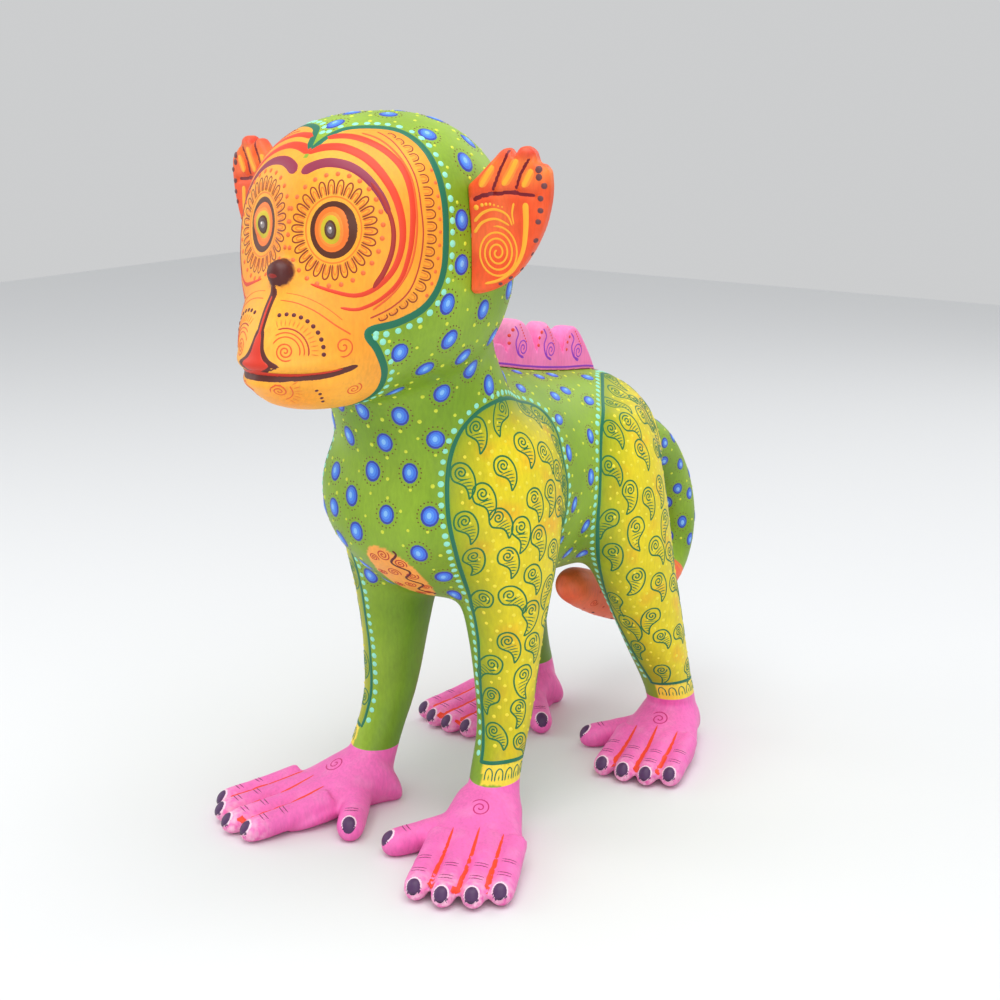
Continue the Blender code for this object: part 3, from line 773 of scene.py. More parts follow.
def block(name, *cuts, bores=()):
    """One carved block of the form, cut by planes given as (point, normal), with holes for pegs."""
    bm = bmesh.new()
    bm.from_mesh(form)
    for f in bm.faces:
        f.smooth = True
    for point, normal in cuts:
        keep_side(bm, point, normal)
    mesh = bpy.data.meshes.new(name)
    bm.to_mesh(mesh)
    bm.free()
    for start, end, radius in bores:
        mesh = bored(mesh, start, end, radius)
    return placed(name + "_painted", mesh, "figure", CARVED_COAT, name)


LEG_TOP = Vector((0, 0, LEG_CUT_Z))
EAR_BORES = []
for _side in (1, -1):
    _out = Vector((math.cos(math.radians(EAR_SWEEP)) * _side, math.sin(math.radians(EAR_SWEEP)), 0))
    _middle = Vector((EAR_ROOT.x * _side, EAR_ROOT.y, EAR_ROOT.z + 20)) + _out * 3.5
    EAR_BORES.append((_middle - _out * 11.3, _middle + _out * 8, 2.55))
TAIL_BORE = (Vector((0, 63.7, 135.5)), Vector((0, 92, 135.5)), 3.65)
block("torso", (LEG_TOP, -UP), (NECK_POINT, NECK_NORMAL), bores=[TAIL_BORE])
block("head", (NECK_POINT, -NECK_NORMAL), bores=EAR_BORES)
for _name, _side, _end in (
    ("foreleg_left", 1, 1), ("foreleg_right", -1, 1), ("hindleg_left", 1, -1), ("hindleg_right", -1, -1),
):
    block(_name, (Vector(), -UP), (LEG_TOP, UP), (Vector(), Vector((-_side, 0, 0))), (Vector((0, 5, 0)), Vector((0, _end, 0))))

# ---------------------------------------------------------------- brush strokes, laid on as low relief


class Frame:
    """A place on a form with its own right (u), up (v) and outward directions."""

    def __init__(self, on, middle, outward, up=UP, turn=0.0, flip=1):
        self.on = on
        self.out = outward.normalized()
        up = (up - self.out * up.dot(self.out)).normalized()
        right = up.cross(self.out) * flip
        angle = math.radians(turn) * flip
        self.v = up * math.cos(angle) - right * flip * math.sin(angle)
        self.u = right * math.cos(angle) + up * flip * math.sin(angle)
        self.middle = middle

    def at(self, u, v):
        """The point of the form at u, v, found along the outward direction."""
        start = self.middle + self.u * u + self.v * v + self.out * 8
        place, normal, _, _ = self.on.tree.ray_cast(start, -self.out, 16)
        return (place, normal) if place is not None else self.on.snap(start - self.out * 8)

    def path(self, points, spacing=0.6, closed=False):
        return [self.at(p.x, p.y)[0] for p in catmull([Vector((u, v, 0)) for u, v in points], spacing, closed)]


def frame_near(on, point, up=UP, turn=0.0, flip=1):
    place, normal = on.snap(Vector(point))
    return Frame(on, place, normal, up, turn, flip)


class Painter:
    """Gathers brush strokes on one form."""

    def __init__(self, on):
        self.on = on
        self.verts, self.faces, self.kinds = [], [], []

    def add(self, verts, faces, colour):
        start = len(self.verts)
        self.verts += verts
        self.faces += [tuple(i + start for i in f) for f in faces]
        self.kinds += [colour] * len(faces)

    def ribbon(self, path, width, colour, level=0, closed=False, taper=(1.0, 1.0), height=0.15):
        """One brush line along the path, with soft edges and rounded ends."""
        count = len(path)
        if count < 3:
            return
        steps = 1 if width < 1.6 else math.ceil(width / 1.4)
        across = [k / steps for k in range(-steps, steps + 1)]
        laid_on = [self.on.snap(p) for p in path]
        along = [0.0]
        for a, b in zip(path, path[1:]):
            along.append(along[-1] + (b - a).length)
        total = max(along[-1], 1e-6)
        verts, faces = [], []
        for i, (place, normal) in enumerate(laid_on):
            before = laid_on[(i - 1) % count if closed else max(i - 1, 0)][0]
            after = laid_on[(i + 1) % count if closed else min(i + 1, count - 1)][0]
            side = normal.cross(after - before)
            side = side.normalized() if side.length > 1e-9 else Vector((1, 0, 0))
            share = along[i] / total
            half = width / 2 * (taper[0] + (taper[1] - taper[0]) * share)
            if not closed:
                end = min(along[i], total - along[i]) / (width * 0.55)
                half *= max(math.sqrt(max(0.0, 1 - (1 - min(end, 1.0)) ** 2)), 0.3)
            for a in across:
                spot, facing = place + side * (a * half), normal
                if a and width > 1.0:
                    spot, facing = self.on.snap(spot)
                rise = 0.09 * level + (height * (1 - abs(a) ** 2.5) if abs(a) < 1 else -0.07)
                verts.append(spot + facing * rise)
        columns = len(across)
        for i in range(count if closed else count - 1):
            n = (i + 1) % count
            for k in range(columns - 1):
                faces.append((i * columns + k, n * columns + k, n * columns + k + 1, i * columns + k + 1))
        self.add(verts, faces, colour)

    def blob(self, frame, outline, colour, level=0, height=0.14):
        """A filled shape with a soft edge, from its outline in the frame's u and v."""
        mu = sum(p[0] for p in outline) / len(outline)
        mv = sum(p[1] for p in outline) / len(outline)
        place, normal = frame.at(mu, mv)
        base = 0.09 * level
        verts = [place + normal * (base + height)]
        count = len(outline)
        reach = max(math.hypot(u - mu, v - mv) for u, v in outline)
        rings = max(2, round(reach / 0.9))
        for ring in range(1, rings + 1):
            share = ring / rings if ring < rings else 1.0
            rise = base + height * (1 - 0.25 * share**4) if ring < rings else base - 0.07
            for u, v in outline:
                place, normal = frame.at(mu + (u - mu) * share, mv + (v - mv) * share)
                verts.append(place + normal * rise)
        faces = [(0, 1 + k, 1 + (k + 1) % count) for k in range(count)]
        for ring in range(rings - 1):
            low, high = 1 + ring * count, 1 + (ring + 1) * count
            for k in range(count):
                n = (k + 1) % count
                faces.append((low + k, high + k, high + n, low + n))
        self.add(verts, faces, colour)

    def oval(self, frame, ru, rv, colour, level=0, cu=0.0, cv=0.0, sides=14, height=0.14):
        ring = [2 * math.pi * k / sides for k in range(sides)]
        self.blob(frame, [(cu + ru * math.cos(a), cv + rv * math.sin(a)) for a in ring], colour, level, height)

    def dot(self, point, radius, colour, level=0, sides=8):
        """A drop of paint."""
        place, normal = self.on.snap(Vector(point))
        right = normal.orthogonal().normalized()
        up = normal.cross(right)
        base = 0.09 * level
        verts = [place + normal * (base + min(0.3, radius * 0.32))]
        for share, rise in ((0.65, base + min(0.22, radius * 0.24)), (1.0, base - 0.06)) if radius > 0.6 else ((1.0, base - 0.05),):
            for k in range(sides):
                a = 2 * math.pi * k / sides
                verts.append(place + (right * math.cos(a) + up * math.sin(a)) * radius * share + normal * rise)
        faces = [(0, 1 + k, 1 + (k + 1) % sides) for k in range(sides)]
        if radius > 0.6:
            for k in range(sides):
                n = (k + 1) % sides
                faces.append((1 + k, 1 + sides + k, 1 + sides + n, 1 + n))
        self.add(verts, faces, colour)

    def spiral(self, frame, radius, turns, width, colour, level=0, start=0.0, hand=1, cu=0.0, cv=0.0, squash=1.0):
        count = max(10, int(turns * 20 * max(1.0, radius / 5)))
        path = []
        for k in range(count + 1):
            t = k / count
            a = math.radians(start) + hand * 2 * math.pi * turns * t
            path.append(frame.at(cu + radius * (0.06 + 0.94 * t) * math.cos(a), cv + squash * radius * (0.06 + 0.94 * t) * math.sin(a))[0])
        self.ribbon(path, width, colour, level)

    def made(self, name, body, part_of=None, groups=None):
        """Turns the strokes into pieces, one for each group of faces."""
        groups = groups or {name: lambda centre: True}
        buckets = {key: [] for key in groups}
        for index, face in enumerate(self.faces):
            centre = sum((self.verts[i] for i in face), Vector()) / len(face)
            for key, test in groups.items():
                if test(centre):
                    buckets[key].append(index)
                    break
        for key, chosen in buckets.items():
            if not chosen:
                continue
            used = sorted({i for f in chosen for i in self.faces[f]})
            renumber = {old: new for new, old in enumerate(used)}
            mesh = bpy.data.meshes.new(key)
            mesh.from_pydata([self.verts[i] for i in used], [], [tuple(renumber[i] for i in self.faces[f]) for f in chosen])
            colours = sorted({self.kinds[f] for f in chosen})
            obj = placed(key, mesh, body, None)
            for colour in colours:
                mesh.materials.append(MATERIALS[colour])
            where = {colour: k for k, colour in enumerate(colours)}
            mesh.polygons.foreach_set("material_index", [where[self.kinds[f]] for f in chosen])
            mesh.polygons.foreach_set("use_smooth", [True] * len(chosen))
            mesh.update()


def spread(candidates, apart, first=0):
    """Places picked from the candidates so that they lie evenly, at least that far apart."""
    if not len(candidates):
        return []
    gap = np.full(len(candidates), 1e9)
    picked, nxt = [], first
    while gap.max() >= apart and len(picked) < 900:
        picked.append(nxt)
        gap = np.minimum(gap, np.sqrt(((candidates - candidates[nxt]) ** 2).sum(1)))
        nxt = int(gap.argmax())
    return picked


def depth_at(name, point):
    _, _, index, _ = skin.tree.find_nearest(point)
    return DEPTH[name][form.polygons[index].vertices[0]]


def outward_of(name, path, i):
    """The direction across the line, away from the area it bounds."""
    place, normal = skin.snap(path[i])
    ahead = path[(i + 1) % len(path)] - path[i - 1]
    side = normal.cross(ahead).normalized()
    return -side if depth_at(name, place + side * 3) > depth_at(name, place - side * 3) else side


def stepped(path, spacing, closed=True):
    """Indices along a path at an even spacing."""
    made, run = [0], 0.0
    for i in range(1, len(path)):
        run += (path[i] - path[i - 1]).length
        if run >= spacing:
            made.append(i)
            run = 0.0
    return made


art = Painter(skin)

# ---- borders of the mask and the panels, each with a row of aqua dots outside it
for name, width, dot_radius, dot_gap, away in (
    ("mask", 3.1, 1.25, 3.5, 2.9), ("fore_left", 2.0, 1.2, 3.4, 2.3), ("fore_right", 2.0, 1.2, 3.4, 2.3),
    ("hind_left", 2.0, 1.2, 3.4, 2.3), ("hind_right", 2.0, 1.2, 3.4, 2.3),
):
    line = LOOPS[name]
    if name == "mask":
        for half in (1, -1):
            art.ribbon(laid([(x * half, y, z) for x, y, z in MASK_HALF], 0.6, False)[3:], width, "border_green")
        open_line = [p for p in line]
    else:
        start = next(i for i in range(len(line)) if line[i].z < 31 and line[i - 1].z >= 31 or i == 0 and line[0].z < 31)
        turned = line[start:] + line[:start]
        open_line = [p for p in turned if p.z > 31]
        jump = max(range(1, len(open_line)), key=lambda i: (open_line[i] - open_line[i - 1]).length)
        if (open_line[jump] - open_line[jump - 1]).length > 4:
            open_line = open_line[jump:] + open_line[:jump]
        art.ribbon(open_line, width, "border_green")
    for i in stepped(open_line, dot_gap):
        if i < 1 or i > len(open_line) - 2 or (name == "mask" and abs(open_line[i].x) < 3.5 and open_line[i].z > 250):
            continue
        out = outward_of(name, open_line, i)
        art.dot(open_line[i] + out * (away + 0.1 * rng.random()), dot_radius * rng.uniform(0.9, 1.08), "aqua", level=0, sides=10)


def leg_rows(label):
    rows = FORE_LEG if "fore" in label else HIND_LEG
    heights = [r[0] for r in rows][::-1]
    return lambda z: (np.interp(z, heights, [r[1] for r in rows][::-1]), np.interp(z, heights, [r[2] for r in rows][::-1]))


def leg_point(label, angle, z):
    """The skin of a leg at an angle round its axis: 0 outwards, 90 to the front."""
    side = 1 if "left" in label else -1
    x, y = leg_rows(label)(z)
    a = math.radians(angle)
    ray = Vector((math.cos(a) * side, -math.sin(a), 0))
    middle = Vector((x * side, y, z))
    return skin.cast(middle + ray * 19, -ray, 19)[0]


# ---- ankle cuffs below the panels: a green line and hanging petals
for label in HANDS:
    panel = label.replace("foreleg", "fore").replace("hindleg", "hind")
    ring = [leg_point(label, a, 32.0 + 0.3 * math.sin(math.radians(3 * a))) for a in range(-180, 180, 4)]
    inside = [p for p in ring if depth_at(panel, p + Vector((0, 0, -1.5))) > -0.8]
    jump = max(range(1, len(inside)), key=lambda i: (inside[i] - inside[i - 1]).length)
    if (inside[jump] - inside[jump - 1]).length > 4:
        inside = inside[jump:] + inside[:jump]
    art.ribbon(inside, 1.9, "border_green")
    petals = 15
    for k in range(petals):
        a0 = 360 * k / petals
        if depth_at(panel, leg_point(label, a0, 28)) < 1.2:
            continue
        span = 360 / petals * 0.36
        shape = [(-span, 25.4), (-span, 27.4), (-span * 0.75, 29.0), (0, 29.9), (span * 0.75, 29.0), (span, 27.4), (span, 25.4)]
        art.ribbon([leg_point(label, a0 + a, z) for a, z in smooth_rows(shape, 3)], 0.75, "border_green")
        art.ribbon([leg_point(label, a0, z) for z in (25.6, 26.6, 27.6)], 0.7, "cuff_line")

# ---- paisleys and small dots on the yellow panels
PAISLEY = [
    (2.9, -9.6), (4.9, -6.7), (5.4, -3.4), (4.6, 0.2), (2.5, 3.2), (-0.5, 4.2), (-3.2, 2.9), (-4.0, 0.2), (-3.2, -2.4), (-1.2, -3.5),
    (0.9, -4.5), (2.2, -6.3), (2.9, -9.6),
]
RIBS = [((-1.4, -3.0), (3.6, -1.7)), ((0.0, -3.7), (4.2, -3.1)), ((1.3, -4.7), (4.5, -4.5)), ((2.1, -5.9), (4.2, -5.8)), ((2.6, -7.3), (3.7, -7.2))]
for name in ("fore_left", "fore_right", "hind_left", "hind_right"):
    deep = np.where((DEPTH[name] > 5.0) & (points[:, 2] > 37.5))[0]
    if not len(deep):
        continue
    spots = points[deep]
    first = int(np.argmin(spots[:, 2]))
    drawn = []
    chosen = spread(spots * np.array((1.0, 1.0, 0.8)), 9.9, first)
    for k in chosen:
        hand = rng.choice((1, 1, -1))
        at = frame_near(skin, spots[k], UP, rng.uniform(-34, 22), hand)
        size = 0.84 if spots[k][2] < 60 else rng.uniform(0.96, 1.06)
        lift = 1.4 * size
        outline = at.path([(u * size, v * size + lift) for u, v in PAISLEY], 0.7)
        art.ribbon(outline, 1.1, "paisley")
        drawn += outline + [at.at(0, lift)[0], at.at(0, lift + 1.6)[0], at.at(0, lift - 1.6)[0], at.at(2.4, lift - 3)[0]]
        art.spiral(at, 2.7 * size, 1.9, 0.95, "paisley", start=rng.uniform(0, 360), cu=0.0, cv=0.4 * size + lift)
        for (ua, va), (ub, vb) in RIBS:
            rib = [(size * (ua + (ub - ua) * t), size * (va + (vb - va) * t + 0.5 * t * (1 - t)) + lift) for t in (0, 0.33, 0.66, 1)]
            art.ribbon([at.at(u, v)[0] for u, v in rib], 0.65, "paisley")
    free = spots[distance_to(drawn, spots) > 1.9]
    for k in spread(free, 3.6):
        art.dot(free[k], rng.uniform(0.6, 0.9), "panel_dot", sides=7)

# ---- blue ovals ringed with fine dots, and yellow dots, over the green
outside = np.ones(len(points), dtype=bool)
for name in DEPTH:
    outside &= DEPTH[name] < -6.6
outside &= points[:, 2] > 98
outside &= ~((np.abs(points[:, 0]) < 9) & (points[:, 1] > -26) & (points[:, 1] < 66) & (points[:, 2] > 150))
outside &= np.sqrt(((points - np.array((0, 80, 136))) ** 2).sum(1)) > 15
for side in (1, -1):
    lobe = points - np.array((45 * side, -84, 238))
    under_ear = (np.abs(lobe[:, 2]) < 25) & (np.abs(lobe[:, 1]) < 7.5) & (np.abs(lobe[:, 0]) < 12)
    outside &= ~under_ear
field_spots = np.where(outside)[0]
picked = spread(points[field_spots], 12.2, int(np.argmin(((points[field_spots] - np.array((0, -90, 150))) ** 2).sum(1))))
oval_centres = points[field_spots][picked]
for k in picked:
    v = field_spots[k]
    place, normal = Vector(points[v]), Vector(normals[v])
    hint = Vector((0, 0.25, 1)) if place.z < 150 or place.y < -40 else Vector((0, 1, 0.35))
    chest = place.y < -50
    long_axis = rng.uniform(4.0, 4.5) if chest else rng.uniform(3.6, 4.0)
    short_axis = rng.uniform(3.4, 3.9) if chest else rng.uniform(2.5, 2.9)
    at = Frame(skin, place, normal, hint, rng.uniform(-14, 14))
    art.oval(at, short_axis, long_axis, "blue_rim")
    art.oval(at, short_axis * 0.82, long_axis * 0.84, "blue_mid", level=1, cu=0.1, cv=0.1)
    art.oval(at, short_axis * 0.58, long_axis * 0.62, "blue_soft", level=2, cu=-0.1, cv=0.2, sides=12)
    art.oval(at, short_axis * 0.34, long_axis * 0.40, "blue_light", level=3, cu=-0.2, cv=0.3, sides=10)
    beads = rng.randint(15, 20)
    for b in range(beads):
        a = 2 * math.pi * (b + rng.uniform(-0.1, 0.1)) / beads
        spot = at.at((short_axis + 1.0) * math.cos(a), (long_axis + 1.0) * math.sin(a))[0]
        art.dot(spot, 0.46, "ring_brown", sides=6)

outside = np.ones(len(points), dtype=bool)
for name in DEPTH:
    outside &= DEPTH[name] < -5.0
outside &= points[:, 2] > 95
outside &= np.sqrt(((points - np.array((0, 80, 136))) ** 2).sum(1)) > 12.5
for side in (1, -1):
    lobe = points - np.array((45 * side, -84, 238))
    outside &= (np.abs(lobe[:, 2]) > 20) | (np.abs(lobe[:, 1]) > 5.5) | (np.abs(lobe[:, 0]) > 12)
between = points[outside]
gap = np.full(len(between), 1e9)
for start in range(0, len(between), 5000):
    gap[start:start + 5000] = np.sqrt(((between[start:start + 5000, None, :] - oval_centres[None, :, :]) ** 2).sum(2)).min(1)
between = between[gap > 6.0]
for k in spread(between, 6.6):
    art.dot(between[k], rng.uniform(0.6, 0.95), "dot_yellow", sides=7)

# ---- belly patch: red spirals and a wavy maroon line round it
for x, y, z, r, hand in (
    (3.5, -88, 117.5, 2.9, 1), (-1.6, -86, 116, 2.2, -1), (9.5, -84.5, 114.5, 2.6, -1), (-3.0, -78, 110.5, 2.3, 1), (3.4, -80, 110.5, 3.0, -1),
    (10.0, -78, 109, 2.8, 1), (-1.6, -70, 103.6, 2.4, -1), (4.6, -72, 104.5, 2.6, 1), (10.4, -70, 103.2, 2.3, -1), (2.6, -63.5, 98.6, 2.4, 1), (7.6, -65, 99.4, 1.9, -1),
):
    art.spiral(frame_near(skin, (x, y, z)), r, 2.1, 0.8, "patch_red", hand=hand)
wave = [(8.5 + 2.2 * math.sin(7 * math.pi * t) - 3.0 * abs(t - 0.45), -89 + 28 * t, 121 - 23 * t) for t in np.linspace(0.03, 0.97, 22)]
art.ribbon(laid(wave, 0.6, False), 1.0, "patch_maroon", level=1)

# ---- the face
EYE_OUT = Vector((0.22, -0.97, 0.06))
for side in (1, -1):
    def flipped(points_3d):
        return laid(on_side(points_3d, side), 0.6, False)

    out = Vector((EYE_OUT.x * side, EYE_OUT.y, EYE_OUT.z))
    eye = Frame(skin, skin.cast(Vector((16.2 * side, -160, 242.3)), Vector((0, 1, 0)), 80)[0], out, UP, 0, side)
    # Lids and iris, from the outside inwards
    art.oval(eye, 8.7, 9.9, "eye_ring", sides=30)
    art.oval(eye, 6.7, 8.1, "eye_orange", level=1, cu=-0.5, cv=0.1, sides=28)
    art.oval(eye, 5.2, 6.4, "ear_amber", level=2, cu=-0.7, sides=26)
    art.oval(eye, 4.3, 5.3, "eye_olive", level=3, cu=-0.8, sides=24)
    art.oval(eye, 2.9, 3.7, "eye_ring", level=4, cu=-0.8, sides=22)
    art.oval(eye, 2.3, 3.0, "pupil", level=5, cu=-0.8, sides=20)
    art.oval(eye, 1.4, 1.7, "pupil_grey", level=6, cu=-0.8, sides=14)
    art.oval(eye, 0.5, 0.55, "glint", level=7, cu=-0.5, cv=0.5, sides=8)
    ring = [(9.9 * math.cos(math.radians(a)), 11.0 * math.sin(math.radians(a))) for a in range(0, 360, 6)]
    art.ribbon([eye.at(u, v)[0] for u, v in ring], 0.8, "petal_orange", closed=True)
    # Petals round the eye, with a dot beyond each
    petals = 26
    for k in range(petals):
        a = 360 * k / petals

        def polar(r, turn):
            t = math.radians(a + turn)
            return eye.at(r * 0.95 * math.cos(t), r * 1.03 * math.sin(t))[0]

        if (polar(14, 0) - Vector((0, -133, 227.4))).length < 8.5:
            continue
        shape = [(11.2, -5.0), (13.6, -5.0), (15.4, -3.4), (16.1, 0.0), (15.4, 3.4), (13.6, 5.0), (11.2, 5.0)]
        art.ribbon([polar(r, t) for r, t in smooth_rows(shape, 3)], 0.8, "petal_brown")
        shape = [(11.4, -2.4), (13.6, -2.3), (14.5, 0.0), (13.6, 2.3), (11.4, 2.4)]
        art.ribbon([polar(r, t) for r, t in smooth_rows(shape, 3)], 0.65, "petal_orange")
        art.dot(polar(17.9, 360 / petals / 2), 0.95, "face_dot", sides=8)
    # Brow and the stripes over it
    art.ribbon(flipped([(1.4, -124, 260.6), (6, -122, 263.2), (11, -120.6, 264.4), (18, -119, 263.4), (24.5, -118, 260), (30.5, -117, 253.5), (33.4, -116.5, 247.5)]), 5.0, "purple_brow", taper=(1.0, 0.5))
    art.ribbon(flipped([(26.5, -117.7, 258.2), (30.6, -117, 253.3), (34.4, -116.3, 245), (35.0, -117, 237), (33.6, -119.5, 229.5), (30.4, -122, 223.5)]), 4.6, "brow_red", level=1, taper=(0.3, 0.4))
    art.ribbon(flipped([(-0.8, -118.8, 267.3), (6, -116.5, 269), (13, -115, 268.8), (23, -114, 264.8), (31.4, -113.7, 257), (35.6, -113.6, 249), (37, -114, 241), (36.6, -115.5, 234), (34.6, -118, 228), (30.5, -122, 223), (25.5, -125.7, 221), (18, -129.5, 222.5), (11.7, -132.7, 225)]), 4.5, "stripe_red", taper=(1.0, 0.25))
    art.ribbon(flipped([(3, -112.5, 272), (11, -110, 272), (19, -109, 270.4), (27, -108, 266.5), (33, -107.8, 261), (37, -109, 253), (38.7, -110.8, 244), (38.5, -112.5, 235), (36.7, -115.5, 226), (32, -120.5, 219.5), (27, -125.5, 216.5), (21.8, -129, 217)]), 3.8, "stripe_red", taper=(1.0, 0.3))
    art.ribbon(flipped([(14, -107, 273), (21, -106.2, 271.4), (29, -106.2, 266.2), (35.2, -107, 259.2), (38.6, -108.6, 250), (39.8, -110.2, 240), (38.6, -112.6, 230), (35.4, -117, 222), (30.5, -122.4, 216)]), 1.8, "stripe_orange", taper=(0.6, 0.5))
    art.ribbon(flipped([(18, -103.6, 273.4), (24, -103.7, 271.2), (31, -104.8, 266), (36.3, -105.7, 259), (39.6, -107.2, 250), (41, -108, 240), (40.6, -110, 230), (38.2, -112.8, 222), (34, -117.5, 216.5), (29, -122.3, 213.2)]), 0.8, "line_red")
    # Cheek: a spiral inside arcs and rays, and a row of dots with a curl beyond them
    cheek = Frame(skin, skin.snap(Vector((10.0 * side, -144, 203.0)))[0], Vector((0.42 * side, -0.9, 0.1)), UP, 0, side)
    art.spiral(cheek, 3.3, 2.3, 0.8, "stripe_orange", start=200)

    def arc(frame, r, start, end, width, colour, cv=0.0):
        art.ribbon([frame.at(r * math.cos(math.radians(a)), cv + r * math.sin(math.radians(a)))[0] for a in np.linspace(start, end, 24)], width, colour)

    arc(cheek, 4.9, -15, 150, 0.7, "stripe_orange")
    arc(cheek, 6.3, -12, 125, 0.7, "stripe_orange")
    arc(cheek, 7.7, -10, 112, 0.8, "line_red")
    for a in range(-6, 112, 9):
        t = math.radians(a)
        art.ribbon([cheek.at(r * math.cos(t), r * math.sin(t))[0] for r in (8.5, 9.6, 10.7)], 0.65, "petal_orange")
    for a in range(-4, 108, 12):
        t = math.radians(a)
        art.dot(cheek.at(12.3 * math.cos(t), 12.3 * math.sin(t))[0], 0.85, "maroon", sides=9)
    art.ribbon(flipped([(4.0, -139.5, 219.6), (10, -138.0, 219.0), (16, -135.3, 216.2), (21.5, -131.6, 211.5), (25.2, -127.9, 208.2)]), 0.9, "stripe_orange", taper=(0.6, 1.0))
    art.spiral(frame_near(skin, (23.4 * side, -129.8, 204.2), UP, 0, side), 3.6, 1.7, 0.8, "stripe_orange", start=140, hand=-1)
    art.ribbon(flipped([(5.0, -137.8, 222.2), (11, -136.2, 221.4), (17.5, -133.2, 218.2), (23, -129.4, 213)]), 0.7, "stripe_orange", taper=(0.5, 0.6))
    # Chin
    chin = Frame(skin, skin.snap(Vector((7.0 * side, -144.5, 189.0)))[0], Vector((0.3 * side, -0.85, -0.3)), UP, 0, side)
    art.spiral(chin, 3.0, 2.2, 0.75, "stripe_orange", start=120)
    arc(chin, 4.4, -80, 25, 0.65, "stripe_orange")
    for a in range(-66, 26, 15):
        t = math.radians(a)
        art.ribbon([chin.at(r * math.cos(t), r * math.sin(t))[0] for r in (5.2, 6.2, 7.2)], 0.65, "petal_orange")
    for p in ((14.6, -134.5, 190.4), (15.2, -133, 187.6), (15.2, -131.8, 184.8), (14.6, -130.4, 182.4)):
        art.dot((p[0] * side, p[1], p[2]), 0.75, "maroon", sides=8)
    art.spiral(frame_near(skin, (21.5 * side, -122.9, 188.5), UP, 0, side), 3.1, 2.1, 0.75, "stripe_orange", start=40)
    # Petals and dots along the outer line
    rim = flipped([(19, -102.4, 273.8), (25, -102.4, 271.4), (32, -103.4, 266.2), (37.4, -104.4, 259), (40.4, -105.8, 250), (41.6, -106.8, 240), (41.2, -108.8, 230), (38.8, -111.8, 221.6), (34.4, -116.9, 215.6), (29.4, -121.8, 212.4)])
    for i in stepped(rim, 3.7):
        if not 0 < i < len(rim) - 1:
            continue
        place, normal = skin.snap(rim[i])
        ahead = (rim[i + 1] - rim[i - 1]).normalized()
        away = normal.cross(ahead).normalized()
        if depth_at("mask", place + away * 2) > depth_at("mask", place - away * 2):
            away = -away
        room = min(5.4, max(2.0, depth_at("mask", place) - 2.4))
        size = room / 5.4
        for width, half, tall, colour in ((0.7, 1.45, 4.0, "petal_brown"), (0.5, 0.7, 2.9, "petal_orange")):
            shape = [(-half, 0), (-half, tall * 0.6), (-half * 0.6, tall * 0.9), (0, tall), (half * 0.6, tall * 0.9), (half, tall * 0.6), (half, 0)]
            art.ribbon([place + ahead * t + away * (o * size) for t, o in smooth_rows(shape, 3)], width, colour)
        if size > 0.75:
            art.dot(place + away * 5.3 + ahead * 1.8, 0.75, "face_dot", sides=8)

# Nose with its nostrils
nose = Frame(skin, Vector((0, -133, 227.4)), Vector((0, -1, 0.1)))
art.oval(nose, 4.8, 4.75, "nose", sides=26)
art.oval(nose, 2.6, 1.0, "nose_red", level=1, cv=-0.9, sides=14, height=0.08)
# Philtrum, with a red wedge where it meets the mouth
middle_line = laid([(0, -136, 223.4), (0, -139.5, 218), (0, -143, 213.5), (0, -146, 208), (0, -148, 202), (0, -149, 197)], 0.6, False)
art.ribbon(middle_line, 3.7, "lip_brown", taper=(1.0, 0.9))
lip = Frame(skin, skin.cast(Vector((0, -190, 200)), Vector((0, 1, 0)), 90)[0], Vector((0, -1, 0.12)))
wedge = smooth_rows([(0, 13), (1.9, 9.5), (2.7, 6), (3.8, 2.8), (6.0, 0.2), (9.6, -2.0), (5.0, -4.2), (0, -4.8)], 3)
wedge = wedge + [(-u, v) for u, v in reversed(wedge[1:-1])]
art.blob(lip, wedge, "lip_brown")
art.ribbon(middle_line[6:], 1.8, "lip_red", level=1, taper=(0.5, 1.2))
art.blob(lip, [(u * 0.62, (v + 2) * 0.8 - 1.8) for u, v in wedge], "lip_red", level=2)
half_mouth = catmull([Vector((-2.5, MOUTH[0][1], 0))] + [Vector((x, z, 0)) for x, z in MOUTH], 0.7)
for side in (1, -1):
    def over_lips(shift=0.0):
        return [skin.cast(Vector((p.x * side, -200, p.y + shift)), Vector((0, 1, 0)), 140)[0] for p in half_mouth]

    art.ribbon(over_lips(), 5.4, "lip_brown", taper=(1.0, 0.4))
    art.ribbon(over_lips(0.7)[:-5], 2.6, "lip_red", level=2, taper=(1.0, 0.25))

# ---- hands: red grooves between the fingers, nails, knuckle dashes and a spiral on the back


def down(place, out, ahead):
    spot = place(out, ahead, 23)
    return skin.cast(spot, Vector((0, 0, -1)), 30)


